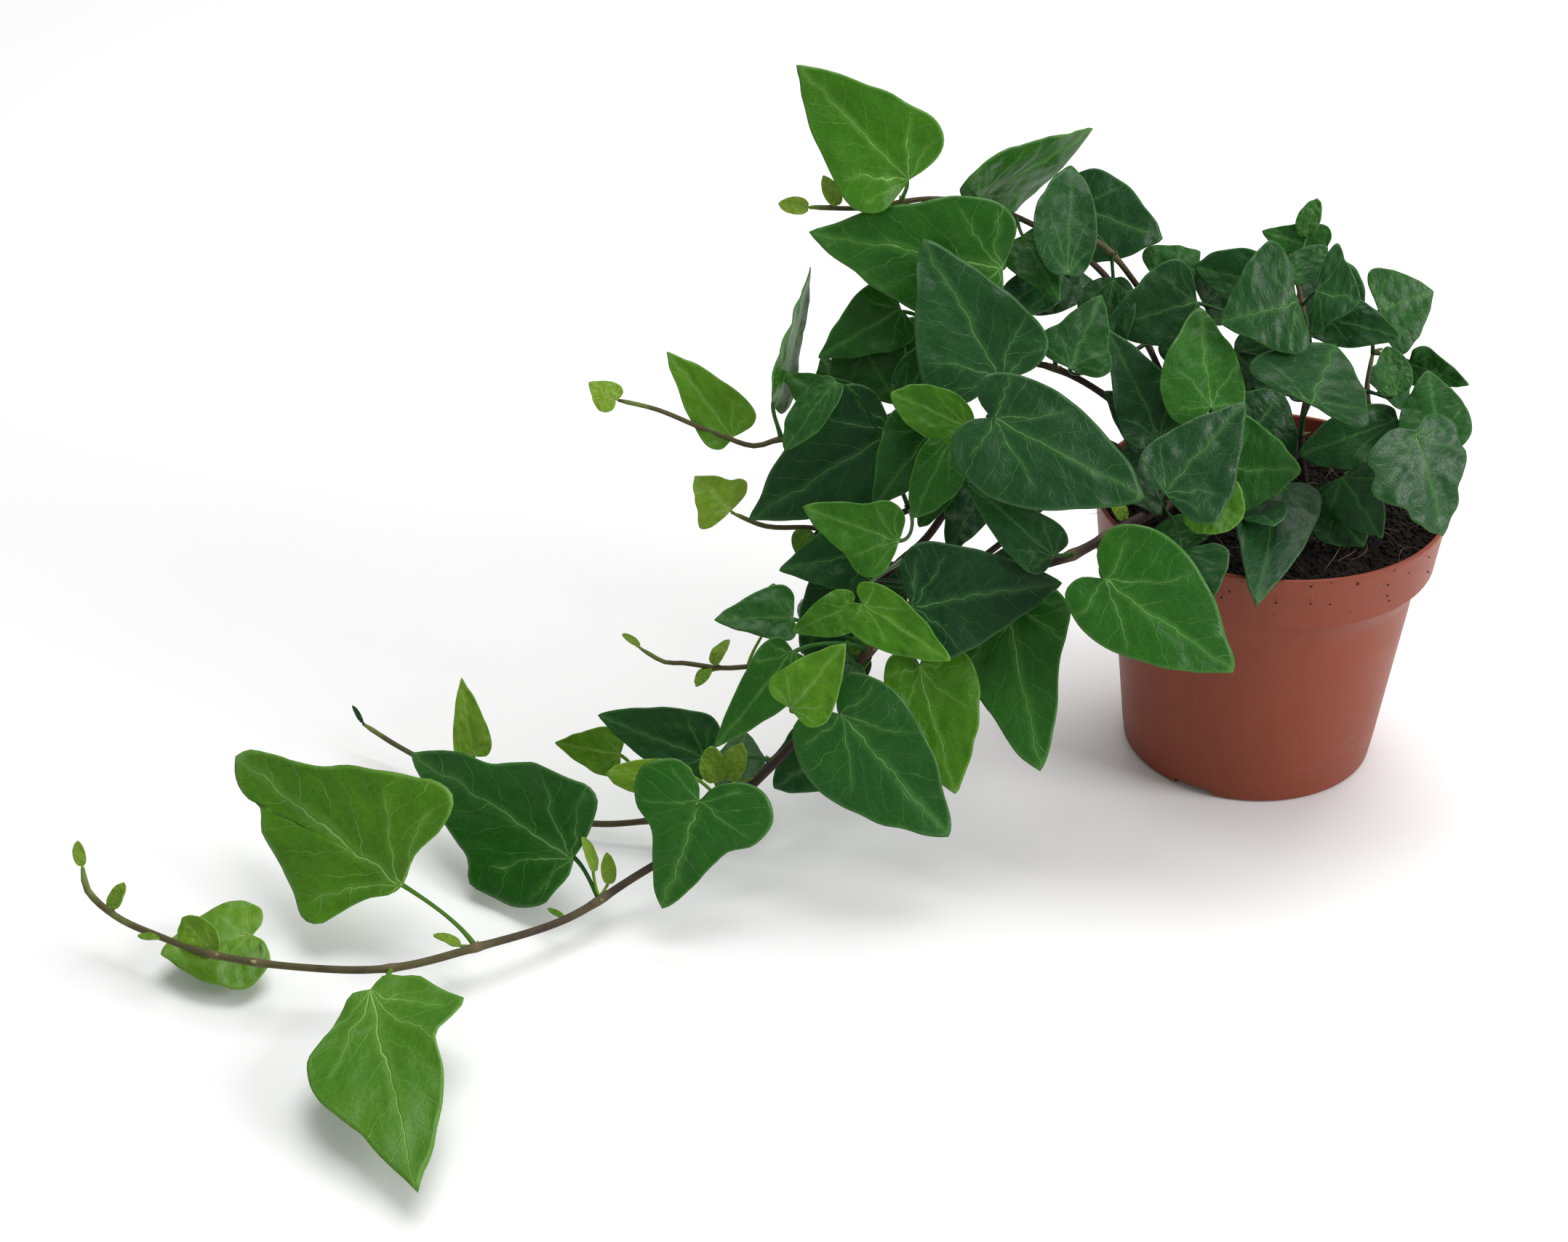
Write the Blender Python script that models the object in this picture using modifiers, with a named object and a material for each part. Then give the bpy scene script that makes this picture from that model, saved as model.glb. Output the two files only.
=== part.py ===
"""Potted ivy: a round nursery pot filled with potting soil, ivy stems that stand in the soil, arch over
the rim and trail along the surface to the left, and their leaves.

Metres, +Z up. The origin is the middle of the pot's underside, -Y is the front, and the stems trail
towards -X. The table of leaves is a planting plan: each leaf is named, grows from a named stem and
stands where and as large as the plan says, in centimetres and degrees.
"""

import math

import bmesh
import bpy
from mathutils import Matrix, Vector

CM = 0.01
MM = 0.001

# Pot, in metres: a common 12 cm nursery pot
RIM_RADIUS = 60 * MM
BAND_BOTTOM_RADIUS = 57.4 * MM
WALL_TOP_RADIUS = 52 * MM
FOOT_RADIUS = 43.7 * MM
POT_HEIGHT = 99 * MM
BAND_HEIGHT = 20 * MM
SHOULDER_DROP = 8 * MM
WALL = 1.4 * MM
LIP_ROUND = 0.7 * MM
FOOT_ROUND = 2 * MM
FOOT_RING_WIDTH = 5 * MM
FLOOR_LIFT = 3 * MM
PAD_RADIUS = 12 * MM
POT_SEGMENTS = 40

NOTCH_WIDTH = 14 * MM
NOTCH_HEIGHT = 2.6 * MM
NOTCH_TURNS = (237, 57)
DRAIN_RADIUS = 4 * MM
DRAIN_CIRCLE = 26 * MM
DRAIN_COUNT = 6

# Soil
GAP = 0.4 * MM
SOIL_EDGE = 92 * MM
SOIL_CROWN = 2 * MM
ROOTED_DEPTH = 6 * MM

# Stems and leaves
STEM_STEP = 13 * MM
STEM_SIDES = 1
PETIOLE_RADIUS = 0.7 * MM
PETIOLE_STEPS = 3
PETIOLE_SIDES = 1
BLADE = 0.8 * MM
BLADE_POINTS = 16
BLADE_RINGS = 2
BLADE_CENTRE = 0.2
THREAD = 0.0001

# Each stem: radius at the root and at the tip in millimetres, then its route in centimetres
STEMS = {
    "long_trailer": (1.8, 1.1, (
        (-1.7, -1.5, 8.7), (-1.7, -1.5, 9.5), (-3.3, -2.4, 10.8), (-5.1, -3.8, 10.9), (-7.2, -4.8, 10.2),
        (-8.5, -4.9, 9.8), (-10.4, -4.9, 9.2), (-12.3, -5.2, 8.3), (-13.8, -5.9, 7.2),
        (-14.7, -6.4, 6.3), (-16.1, -7.4, 4.8), (-17.5, -8.2, 3.6), (-19.4, -9.5, 2.3),
        (-21.5, -10.4, 1.3), (-23.6, -12.2, 1.0), (-26.3, -13.9, 1.2), (-28.8, -15.3, 1.5),
        (-31.4, -15.4, 1.6), (-34.3, -14.9, 1.7), (-36.5, -13.8, 1.7), (-37.7, -13.2, 1.9),
        (-38.7, -12.4, 2.3), (-38.9, -11.9, 2.8),
    )),
    "ground_trailer": (1.6, 0.9, (
        (-2.6, -0.1, 8.7), (-2.6, -0.1, 9.5), (-4.8, -0.7, 11.3), (-7.6, -1.2, 12.4),
        (-10.3, -1.4, 11.2), (-11.8, -2.1, 9.3), (-13.3, -2.5, 7.8), (-14.1, -3.4, 6.1),
        (-15.6, -4.7, 4.3), (-17.0, -6.4, 3.1), (-18.8, -6.7, 1.6), (-22.1, -6.7, 0.8),
        (-24.5, -6.2, 0.7), (-27.3, -4.5, 0.8), (-30.1, -2.4, 1.0), (-31.4, -1.6, 1.4),
    )),
    "lower_shoot": (1.3, 0.8, (
        (-3.6, 0.5, 8.7), (-3.6, 0.5, 9.5), (-6.2, -0.0, 10.4), (-9.6, -1.2, 8.2), (-12.6, -2.2, 6.2),
        (-14.8, -3.1, 5.1), (-17.8, -3.9, 5.3), (-18.7, -4.3, 5.5), (-20.0, -4.3, 5.7),
        (-20.6, -4.4, 5.8), (-21.4, -4.2, 6.2),
    )),
    "middle_shoot": (1.3, 0.8, (
        (-3.2, 0.8, 8.7), (-3.2, 0.8, 9.5), (-6.2, 0.8, 11.6), (-9.2, -0.4, 11.7), (-12.4, -1.8, 10.2),
        (-14.8, -2.2, 9.7), (-15.9, -2.3, 9.8), (-17.2, -2.4, 9.9), (-18.3, -2.4, 10.4),
    )),
    "upper_shoot": (1.3, 0.8, (
        (-2.9, 1.3, 8.7), (-2.9, 1.3, 9.5), (-5.2, 1.3, 12.5), (-8.7, 1.0, 14.3), (-12.4, -0.2, 13.2),
        (-14.8, -0.9, 12.5), (-16.7, -1.1, 12.5), (-17.6, -1.4, 12.4), (-18.7, -1.4, 12.8),
        (-19.5, -1.3, 13.1), (-20.8, -1.1, 13.6), (-22.1, -1.0, 13.9),
    )),
    "crown_shoot": (1.3, 0.8, (
        (-2.2, 1.2, 8.7), (-2.2, 1.2, 9.5), (-3.7, 1.8, 13.3), (-5.8, 2.7, 16.7), (-8.8, 3.2, 18.6),
        (-11.5, 3.1, 19.3), (-13.9, 2.8, 19.1), (-15.7, 2.6, 19.2),
    )),
    "arching_stem": (1.4, 0.9, (
        (-1.9, 0.2, 8.7), (-1.9, 0.2, 9.5), (-2.6, 2.2, 13.1), (-4.9, 3.1, 16.5), (-6.3, 3.0, 17.9),
        (-7.8, 2.8, 18.0), (-9.3, 2.7, 17.6),
    )),
    "right_stem": (1.2, 0.8, (
        (3.7, -0.4, 8.7), (3.7, -0.4, 9.5), (3.5, 0.3, 11.6), (3.1, 1.0, 13.2), (3.3, 1.7, 14.3),
    )),
    "back_stem": (1.2, 0.8, (
        (1.3, -0.2, 8.7), (1.3, -0.2, 9.5), (0.9, 0.4, 11.8), (1.2, 1.5, 14.0), (0.9, 2.5, 15.7),
        (0.6, 3.3, 16.9),
    )),
    "front_stem": (1.2, 0.8, (
        (-0.8, -1.3, 8.7), (-0.8, -1.3, 9.5), (-1.5, -1.8, 10.5), (-2.1, -2.1, 11.5), (-2.8, -2.1, 12.0),
    )),
}

# Half outlines, from the notch at the petiole to the tip: share of the half width, share of the length
OUTLINES = {
    "heart": ((0, 0), (0.25, -0.12), (0.66, -0.13), (0.96, 0.04), (1, 0.26), (0.78, 0.55), (0.38, 0.82),
              (0.10, 0.97), (0, 1)),
    "winged": ((0, 0), (0.12, -0.16), (0.45, -0.28), (0.88, -0.20), (1, 0), (0.86, 0.20), (0.56, 0.34),
               (0.40, 0.56), (0.22, 0.82), (0.06, 0.97), (0, 1)),
    "arrow": ((0, 0), (0.30, -0.02), (0.72, -0.02), (1, 0.10), (0.93, 0.31), (0.66, 0.58), (0.32, 0.83),
              (0.08, 0.97), (0, 1)),
    "lobed": ((0, 0), (0.34, 0), (0.76, 0.04), (1, 0.18), (0.90, 0.32), (0.70, 0.44), (0.52, 0.64),
              (0.28, 0.85), (0.07, 0.97), (0, 1)),
    "oval": ((0, 0), (0.42, 0), (0.82, 0.14), (1, 0.38), (0.88, 0.64), (0.54, 0.86), (0.14, 0.98), (0, 1)),
    "ruffled": ((0, 0), (0.34, -0.09), (0.70, -0.04), (0.96, 0.09), (0.88, 0.22), (1, 0.36), (0.86, 0.52),
                (0.58, 0.62), (0.50, 0.76), (0.20, 0.91), (0, 1)),
    "broad": ((0, 0), (0.42, 0.01), (0.81, -0.02), (1.18, 0.02), (1.22, 0.13), (1.13, 0.20), (0.87, 0.42),
              (0.52, 0.64), (0.39, 0.74), (0.34, 0.82), (0.16, 0.96), (0, 1)),
    "shield": ((0, 0), (0.38, -0.01), (0.70, 0), (0.90, 0.02), (0.98, 0.09), (0.95, 0.17), (0.90, 0.31),
               (0.84, 0.41), (0.60, 0.54), (0.50, 0.61), (0.41, 0.76), (0.20, 0.89), (0, 1)),
    "kite": ((0, 0), (0.20, 0), (0.34, 0.04), (0.52, 0.13), (0.66, 0.20), (0.77, 0.24), (0.88, 0.29),
             (0.89, 0.39), (0.82, 0.48), (0.70, 0.57), (0.50, 0.68), (0.39, 0.77), (0.23, 0.86), (0, 1)),
}

# Left halves of the outlines that differ from side to side
LEFT_HALVES = {
    "broad": ((0, 0), (0.17, 0.02), (0.39, 0.10), (0.79, 0.17), (0.92, 0.19), (1, 0.24), (0.98, 0.30),
              (0.84, 0.39), (0.68, 0.53), (0.52, 0.67), (0.36, 0.73), (0.29, 0.77), (0.31, 0.82),
              (0.26, 0.89), (0.10, 0.97), (0, 1)),
    "shield": ((0, 0), (0.22, -0.03), (0.48, -0.02), (0.73, 0), (0.90, 0.06), (1.04, 0.13), (1.09, 0.18),
               (1.12, 0.35), (1.04, 0.40), (0.87, 0.44), (0.78, 0.49), (0.74, 0.54), (0.28, 0.86),
               (0.15, 0.94), (0, 1)),
    "kite": ((0, 0), (0.18, -0.05), (0.36, -0.03), (0.59, 0), (0.70, 0.06), (0.84, 0.12), (1, 0.19),
             (0.93, 0.24), (0.84, 0.29), (0.69, 0.33), (0.61, 0.37), (0.61, 0.52), (0.50, 0.67),
             (0.36, 0.78), (0.25, 0.87), (0, 1)),
}

# How each kind of blade bends: the V along its midrib, and how far its tip and its sides droop
BENDS = {
    "heart": (0.10, 0.10, 0.10),
    "winged": (0.12, 0.10, 0.10),
    "arrow": (0.14, 0.08, 0.08),
    "lobed": (0.12, 0.10, 0.08),
    "oval": (0.20, 0.10, 0.06),
    "ruffled": (0.10, 0.06, 0.12),
    "broad": (0.10, 0.08, 0.08),
    "shield": (0.10, 0.08, 0.10),
    "kite": (0.08, 0.08, 0.08),
}

# Single leaves: name, stem, place of the blade's base in centimetres, heading, rise and roll in
# degrees, length and width in centimetres, outline, and tone from 0, old and dark, to 1, young and pale
LEAVES = (
    ("top_bright", "crown_shoot", (-12.5, 2.5, 20.2), (155, 40, -50), (5.3, 3.9), "arrow", 0.58),
    ("top_edge", "crown_shoot", (-10.2, 3.6, 19.2), (25, 15, 115), (4.8, 3.6), "heart", 0.42),
    ("dark_oval", "arching_stem", (-7.3, 0.5, 17.7), (85, 45, 5), (4.0, 2.1), "oval", 0.15),
    ("grey_back", "arching_stem", (-6.7, 4.9, 18.3), (-15, -15, 55), (3.2, 3.2), "heart", 0.10),
    ("mid_large", "arching_stem", (-9.4, 1.0, 17.7), (175, 10, -60), (6.5, 4.4), "arrow", 0.40),
    ("big_dark", "upper_shoot", (-9.6, -2.4, 15.3), (130, 45, -30), (5.4, 4.2), "arrow", 0.12),
    ("big_heart", "ground_trailer", (-10.1, -5.3, 15.5), (-10, -25, 55), (5.7, 3.9), "heart", 0.08),
    ("edge_thin", "upper_shoot", (-16.9, -0.8, 13.7), (65, 45, 95), (4.9, 2.6), "arrow", 0.45),
    ("under_tri", "upper_shoot", (-12.7, 1.3, 16.1), (-155, -20, -50), (3.2, 2.4), "arrow", 0.35),
    ("dark_triangle", "ground_trailer", (-13.0, -1.5, 13.0), (-160, -25, -55), (5.6, 4.0), "arrow", 0.08),
    ("bright_lobed", "middle_shoot", (-12.9, -5.5, 11.1), (175, 20, -60), (3.3, 2.6), "lobed", 0.50),
    ("grey_green", "upper_shoot", (-11.8, -2.8, 13.8), (-135, -35, -40), (3.2, 2.4), "arrow", 0.25),
    ("dark_narrow", "long_trailer", (-7.9, -5.7, 10.7), (160, 35, -55), (3.8, 1.8), "arrow", 0.15),
    ("large_dark", "long_trailer", (-12.5, -6.2, 9.1), (0, 10, 60), (4.9, 3.8), "arrow", 0.03),
    ("large_green", "long_trailer", (-9.4, -4.5, 8.8), (-75, -45, 15), (6.2, 4.5), "lobed", 0.38),
    ("big_bright", "long_trailer", (-6.5, -7.3, 10.8), (-20, -30, 55), (5.2, 4.0), "heart", 0.40),
    ("small_heart", "ground_trailer", (-14.1, -8.2, 10.4), (-30, -20, 50), (3.3, 1.8), "heart", 0.62),
    ("back_point", "middle_shoot", (-13.8, -3.7, 9.7), (-165, -5, -55), (3.0, 2.5), "arrow", 0.15),
    ("back_round", "lower_shoot", (-14.0, -3.8, 8.5), (-150, -40, -45), (3.1, 3.2), "heart", 0.10),
    ("folded_left", "long_trailer", (-16.3, -5.6, 8.3), (-170, 5, -40), (2.6, 1.9), "arrow", 0.30),
    ("mid_green", "long_trailer", (-16.3, -7.2, 8.0), (-140, -35, -40), (4.0, 2.0), "arrow", 0.40),
    ("lime_arrow", "long_trailer", (-16.4, -9.8, 7.5), (25, 45, 50), (2.7, 2.2), "arrow", 0.70),
    ("big_dark_heart", "long_trailer", (-14.8, -8.9, 6.7), (-30, -40, 45), (5.3, 3.9), "heart", 0.28),
    ("backlit", "long_trailer", (-12.2, -6.7, 7.1), (-65, -50, 20), (4.3, 3.0), "heart", 0.64),
    ("dark_grey", "ground_trailer", (-19.1, -7.3, 3.9), (165, 15, -55), (4.0, 2.4), "arrow", 0.20),
    ("dark_winged", "long_trailer", (-19.3, -10.5, 4.4), (-125, -55, -30), (3.7, 4.6), "winged", 0.38),
    ("large_ground_dark", "long_trailer", (-23.4, -10.5, 2.2), (140, 5, -50), (8.0, 4.6), "shield", 0.33),
    ("large_ground_bright", "long_trailer", (-28.7, -12.4, 2.5), (140, 10, -45), (8.4, 5.4), "broad", 0.68),
    ("lime_round", "long_trailer", (-33.5, -13.0, 1.0), (-165, 0, -10), (2.9, 3.6), "heart", 0.80),
    ("bottom_leaf", "long_trailer", (-29.2, -16.7, 1.7), (-75, 0, 10), (8.2, 5.2), "kite", 0.66),
    ("r_dark_left", "back_stem", (-2.8, 1.7, 16.2), (-165, -10, -55), (3.4, 3.0), "arrow", 0.12),
    ("r_grazing", "back_stem", (-2.2, 3.8, 15.1), (30, 25, 80), (2.7, 2.4), "arrow", 0.12),
    ("r_sheen", "back_stem", (0.2, -0.1, 17.0), (-160, -5, -55), (2.7, 3.8), "arrow", 0.14),
    ("r_dark_mid", "back_stem", (1.1, 1.5, 16.7), (-20, -5, 55), (1.5, 3.2), "lobed", 0.15),
    ("r_upright", "back_stem", (1.9, 2.9, 14.3), (75, 50, 15), (3.0, 2.4), "oval", 0.10),
    ("r_right_top", "right_stem", (3.4, 2.1, 15.7), (20, 10, 55), (2.2, 3.0), "arrow", 0.26),
    ("r_bright_oval", "front_stem", (-2.7, -2.2, 14.2), (95, 50, 0), (3.5, 2.8), "heart", 0.42),
    ("r_sheen_left", "front_stem", (-4.2, -1.8, 12.9), (130, 50, -30), (4.0, 2.4), "arrow", 0.08),
    ("r_mid_left", "crown_shoot", (-7.2, -0.7, 14.9), (55, 45, 30), (2.8, 2.6), "lobed", 0.20),
    ("r_grey_wide", "back_stem", (0.5, -2.3, 14.4), (60, 30, 25), (2.6, 4.3), "arrow", 0.10),
    ("r_dark_cross", "long_trailer", (-4.5, -5.5, 12.9), (35, 35, 45), (4.0, 3.2), "arrow", 0.06),
    ("r_mid_tip", "front_stem", (-2.1, -3.4, 12.6), (-10, 5, 60), (2.3, 3.2), "arrow", 0.30),
    ("r_hanging", "front_stem", (-0.2, -2.5, 11.7), (-105, -20, -15), (5.2, 3.0), "arrow", 0.03),
    ("r_twisted", "right_stem", (1.8, -2.6, 11.9), (-50, -40, 55), (2.4, 2.4), "arrow", 0.12),
    ("r_dark_back", "right_stem", (3.9, -0.4, 12.9), (-165, -15, -55), (3.5, 2.0), "oval", 0.12),
    ("r_over_rim", "right_stem", (3.6, -4.1, 14.4), (-50, -60, 10), (3.6, 3.8), "ruffled", 0.12),
    ("r_over_back", "right_stem", (5.1, -1.5, 12.7), (100, 50, -10), (2.4, 2.4), "heart", 0.25),
    ("r_rim_left", "long_trailer", (-3.9, -6.3, 11.2), (-75, -45, 15), (2.3, 2.8), "arrow", 0.12),
)

# Small leaves that are one growth with their stem, in the same form
SPROUTS = (
    ("round_mid", "upper_shoot", (-14.0, 0.9, 15.0), (-50, -40, 35), (2.3, 2.6), "heart", 0.35),
    ("small_dark", "upper_shoot", (-12.7, -0.9, 13.8), (35, 50, 45), (2.3, 1.7), "oval", 0.20),
    ("mid_narrow", "ground_trailer", (-11.2, -3.6, 14.0), (-125, -45, -30), (2.9, 1.7), "oval", 0.40),
    ("narrow_bright", "ground_trailer", (-10.9, -2.5, 12.4), (-135, -45, -35), (2.5, 1.1), "oval", 0.40),
    ("light_over", "ground_trailer", (-10.6, -3.4, 14.1), (175, 25, -60), (2.8, 1.7), "oval", 0.60),
    ("small_bright", "long_trailer", (-14.5, -6.9, 9.5), (-160, -15, -55), (2.0, 1.4), "heart", 0.60),
    ("behind_stem", "ground_trailer", (-14.9, -6.5, 3.7), (-165, -30, -55), (2.5, 2.4), "heart", 0.15),
    ("lime_leaf", "long_trailer", (-19.6, -8.9, 4.3), (-175, 5, -60), (2.8, 1.2), "oval", 0.80),
    ("pale_behind", "ground_trailer", (-22.1, -5.8, 3.0), (170, 5, -60), (2.3, 1.7), "arrow", 0.60),
    ("light_upright", "ground_trailer", (-27.3, -4.0, 1.7), (105, 50, -10), (2.7, 1.0), "oval", 0.80),
    ("pale_small", "long_trailer", (-34.3, -14.8, 1.7), (140, 20, -45), (1.7, 1.3), "oval", 0.75),
    ("r_tri", "arching_stem", (-4.0, 4.0, 16.1), (20, 20, 50), (1.9, 2.2), "arrow", 0.30),
    ("r_under", "back_stem", (1.7, 3.7, 17.1), (165, 15, -55), (2.2, 1.8), "arrow", 0.35),
    ("r_folded", "right_stem", (4.4, 1.0, 14.3), (-20, -15, 85), (2.1, 1.4), "arrow", 0.25),
    ("r_lime_tip", "front_stem", (-3.4, -4.4, 12.5), (-25, -25, 50), (1.9, 2.2), "oval", 0.65),
    ("r_small_soil", "right_stem", (1.6, -2.7, 10.6), (-45, -30, 40), (1.5, 2.2), "heart", 0.12),
    ("r_crinkled", "right_stem", (3.7, -0.5, 13.8), (95, 45, -5), (1.8, 1.2), "oval", 0.30),
    ("r_strip", "front_stem", (-4.4, -3.9, 10.2), (10, 15, 55), (2.2, 1.2), "oval", 0.25),
    ("r_behind", "back_stem", (-1.1, 3.4, 13.5), (-30, -30, 45), (1.8, 2.6), "heart", 0.10),
    ("r_fill_a", "back_stem", (-0.8, -0.0, 12.3), (40, 35, 45), (1.7, 2.8), "heart", 0.10),
    ("r_back_row", "upper_shoot", (-8.7, 1.7, 16.2), (15, 10, 55), (2.7, 1.6), "oval", 0.12),
)


def clear_scene():
    for old in list(bpy.data.objects):
        bpy.data.objects.remove(old, do_unlink=True)


def new_collection(name):
    collection = bpy.data.collections.new(name)
    bpy.context.scene.collection.children.link(collection)
    return collection


def finish(name, colour, roughness):
    """A plain Principled material."""
    material = bpy.data.materials.new(name)
    material.use_nodes = True
    shader = material.node_tree.nodes["Principled BSDF"]
    shader.inputs["Base Color"].default_value = (*colour, 1)
    shader.inputs["Roughness"].default_value = roughness
    shader.inputs["Metallic"].default_value = 0
    return material


def leaf_colour(tone):
    """Old leaves are dark green and young ones are yellow-green."""
    old, young = (0.012, 0.075, 0.02), (0.22, 0.42, 0.03)
    return [dark + (pale - dark) * tone for dark, pale in zip(old, young)]


def add_object(name, mesh, collection, material=None):
    thing = bpy.data.objects.new(name, mesh)
    collection.objects.link(thing)
    if material:
        mesh.materials.append(material)
    return thing


def hide_helper(thing):
    thing.hide_render = True
    thing.display_type = "WIRE"


def boolean(thing, other, operation):
    modifier = thing.modifiers.new(other.name, "BOOLEAN")
    modifier.operation = operation
    modifier.object = other


def turned(name, profile, collection, material):
    """A profile of (radius, height) points turned about Z."""
    mesh = bpy.data.meshes.new(name)
    corners = [(radius, 0, height) for radius, height in profile]
    mesh.from_pydata(corners, [(i, i + 1) for i in range(len(corners) - 1)], [])
    thing = add_object(name, mesh, collection, material)
    screw = thing.modifiers.new("turn", "SCREW")
    screw.steps = screw.render_steps = POT_SEGMENTS
    screw.use_merge_vertices = True
    screw.merge_threshold = THREAD
    screw.use_smooth_shade = True
    return thing


def arc(centre, radius, start, end, steps):
    """Points of a circle in the profile's plane, between two angles in degrees."""
    angles = [math.radians(start + (end - start) * i / steps) for i in range(steps + 1)]
    return [(centre[0] + radius * math.cos(a), centre[1] + radius * math.sin(a)) for a in angles]


def wall_radius(height):
    """The outer radius of the tapered wall below the shoulder."""
    top = POT_HEIGHT - BAND_HEIGHT
    return FOOT_RADIUS + (WALL_TOP_RADIUS - FOOT_RADIUS) * height / top


def make_pot(collection, cutters):
    band = POT_HEIGHT - BAND_HEIGHT
    shoulder = band - SHOULDER_DROP
    ring = FOOT_RADIUS - FOOT_RING_WIDTH
    floor_top = FLOOR_LIFT + WALL
    profile = [(0, floor_top), (wall_radius(floor_top) - WALL, floor_top)]
    profile += [(wall_radius(shoulder) - WALL, shoulder), (BAND_BOTTOM_RADIUS - WALL, band)]
    profile += arc((RIM_RADIUS - LIP_ROUND, POT_HEIGHT - LIP_ROUND), LIP_ROUND, 180, 0, 4)
    profile += [(BAND_BOTTOM_RADIUS, band), (BAND_BOTTOM_RADIUS - 0.8 * MM, band - 1.6 * MM)]
    profile += [(wall_radius(shoulder), shoulder)]
    profile += arc((FOOT_RADIUS - FOOT_ROUND, FOOT_ROUND), FOOT_ROUND, 0, -90, 3)
    profile += [(ring, 0), (ring, FLOOR_LIFT), (PAD_RADIUS, FLOOR_LIFT), (PAD_RADIUS, 0), (0, 0)]
    pot = turned("pot", profile, collection, finish("terracotta_plastic", (0.27, 0.075, 0.045), 0.45))
    for index, turn in enumerate(NOTCH_TURNS):
        bpy.ops.mesh.primitive_cube_add(size=1)
        notch = bpy.context.object
        notch.name = f"notch_cutter_{index + 1}"
        angle = math.radians(turn)
        notch.scale = (FOOT_RING_WIDTH * 2, NOTCH_WIDTH, NOTCH_HEIGHT * 2)
        notch.rotation_euler.z = angle
        notch.location = (FOOT_RADIUS * math.cos(angle), FOOT_RADIUS * math.sin(angle), 0)
        move_to(notch, cutters)
        hide_helper(notch)
        boolean(pot, notch, "DIFFERENCE")
    for index in range(DRAIN_COUNT):
        angle = math.tau * (index + 0.5) / DRAIN_COUNT
        bpy.ops.mesh.primitive_cylinder_add(vertices=16, radius=DRAIN_RADIUS, depth=4 * FLOOR_LIFT)
        drain = bpy.context.object
        drain.name = f"drain_cutter_{index + 1}"
        drain.location = (DRAIN_CIRCLE * math.cos(angle), DRAIN_CIRCLE * math.sin(angle), FLOOR_LIFT)
        move_to(drain, cutters)
        hide_helper(drain)
        boolean(pot, drain, "DIFFERENCE")


def move_to(thing, collection):
    for holder in list(thing.users_collection):
        holder.objects.unlink(thing)
    collection.objects.link(thing)


def make_soil(collection, cutters):
    """The soil fills the pot to just below its rim, with a hole where each stem stands."""
    band = POT_HEIGHT - BAND_HEIGHT
    shoulder = band - SHOULDER_DROP
    bottom = FLOOR_LIFT + WALL + GAP
    inset = WALL + GAP
    edge = BAND_BOTTOM_RADIUS + (RIM_RADIUS - BAND_BOTTOM_RADIUS) * (SOIL_EDGE - band) / BAND_HEIGHT
    profile = [(0, SOIL_EDGE + SOIL_CROWN), (0.4 * edge, SOIL_EDGE + 0.8 * SOIL_CROWN)]
    profile += [(0.75 * edge, SOIL_EDGE + 0.3 * SOIL_CROWN), (edge - inset, SOIL_EDGE)]
    profile += [(BAND_BOTTOM_RADIUS - inset, band), (wall_radius(shoulder) - inset, shoulder)]
    profile += [(wall_radius(bottom) - inset, bottom), (0, bottom)]
    soil = turned("soil", profile, collection, finish("potting_soil", (0.012, 0.009, 0.008), 0.95))
    for name, (thick, _, route) in STEMS.items():
        foot = Vector(route[0]) * CM
        depth = SOIL_EDGE - foot.z + 4 * GAP
        radius = thick * MM + GAP
        bpy.ops.mesh.primitive_cylinder_add(vertices=12, radius=radius, depth=4 * depth)
        hole = bpy.context.object
        hole.name = f"{name}_hole"
        hole.location = (foot.x, foot.y, foot.z - GAP + 2 * depth)
        move_to(hole, cutters)
        hide_helper(hole)
        boolean(soil, hole, "DIFFERENCE")


def smooth_route(points, step):
    """Places about a step apart along a smooth curve through the points."""
    places = []
    ends = [points[0]] + list(points) + [points[-1]]
    for a, b, c, d in zip(ends, ends[1:], ends[2:], ends[3:]):
        handle = (c - b).length / 3
        leave = (c - a).normalized() * handle
        arrive = (d - b).normalized() * handle
        pieces = max(1, round((c - b).length / step))
        for i in range(pieces):
            t = i / pieces
            places.append(bezier(b, b + leave, c - arrive, c, t))
    places.append(points[-1])
    return places


def bezier(a, b, c, d, t):
    s = 1 - t
    return a * s**3 + b * (3 * s * s * t) + c * (3 * s * t * t) + d * t**3


def stem_route(name):
    _, _, route = STEMS[name]
    return smooth_route([Vector(point) * CM for point in route], STEM_STEP)


def tube(name, places, radii, sides, collection, material=None):
    """A round bar along the places, as one closed mesh."""
    curve = bpy.data.curves.new(name, "CURVE")
    curve.dimensions = "3D"
    curve.bevel_depth = 1
    curve.bevel_resolution = sides
    curve.use_fill_caps = True
    spline = curve.splines.new("POLY")
    spline.points.add(len(places) - 1)
    for point, place, radius in zip(spline.points, places, radii):
        point.co = (*place, 1)
        point.radius = radius
    guide = bpy.data.objects.new(f"{name}_guide", curve)
    collection.objects.link(guide)
    bpy.context.view_layer.update()
    mesh = bpy.data.meshes.new_from_object(guide.evaluated_get(bpy.context.evaluated_depsgraph_get()))
    bpy.data.objects.remove(guide, do_unlink=True)
    form = bmesh.new()
    form.from_mesh(mesh)
    bmesh.ops.remove_doubles(form, verts=form.verts, dist=THREAD / 10)
    bmesh.ops.recalc_face_normals(form, faces=form.faces)
    form.to_mesh(mesh)
    form.free()
    mesh.shade_smooth()
    mesh.name = name
    return add_object(name, mesh, collection, material)


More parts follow.
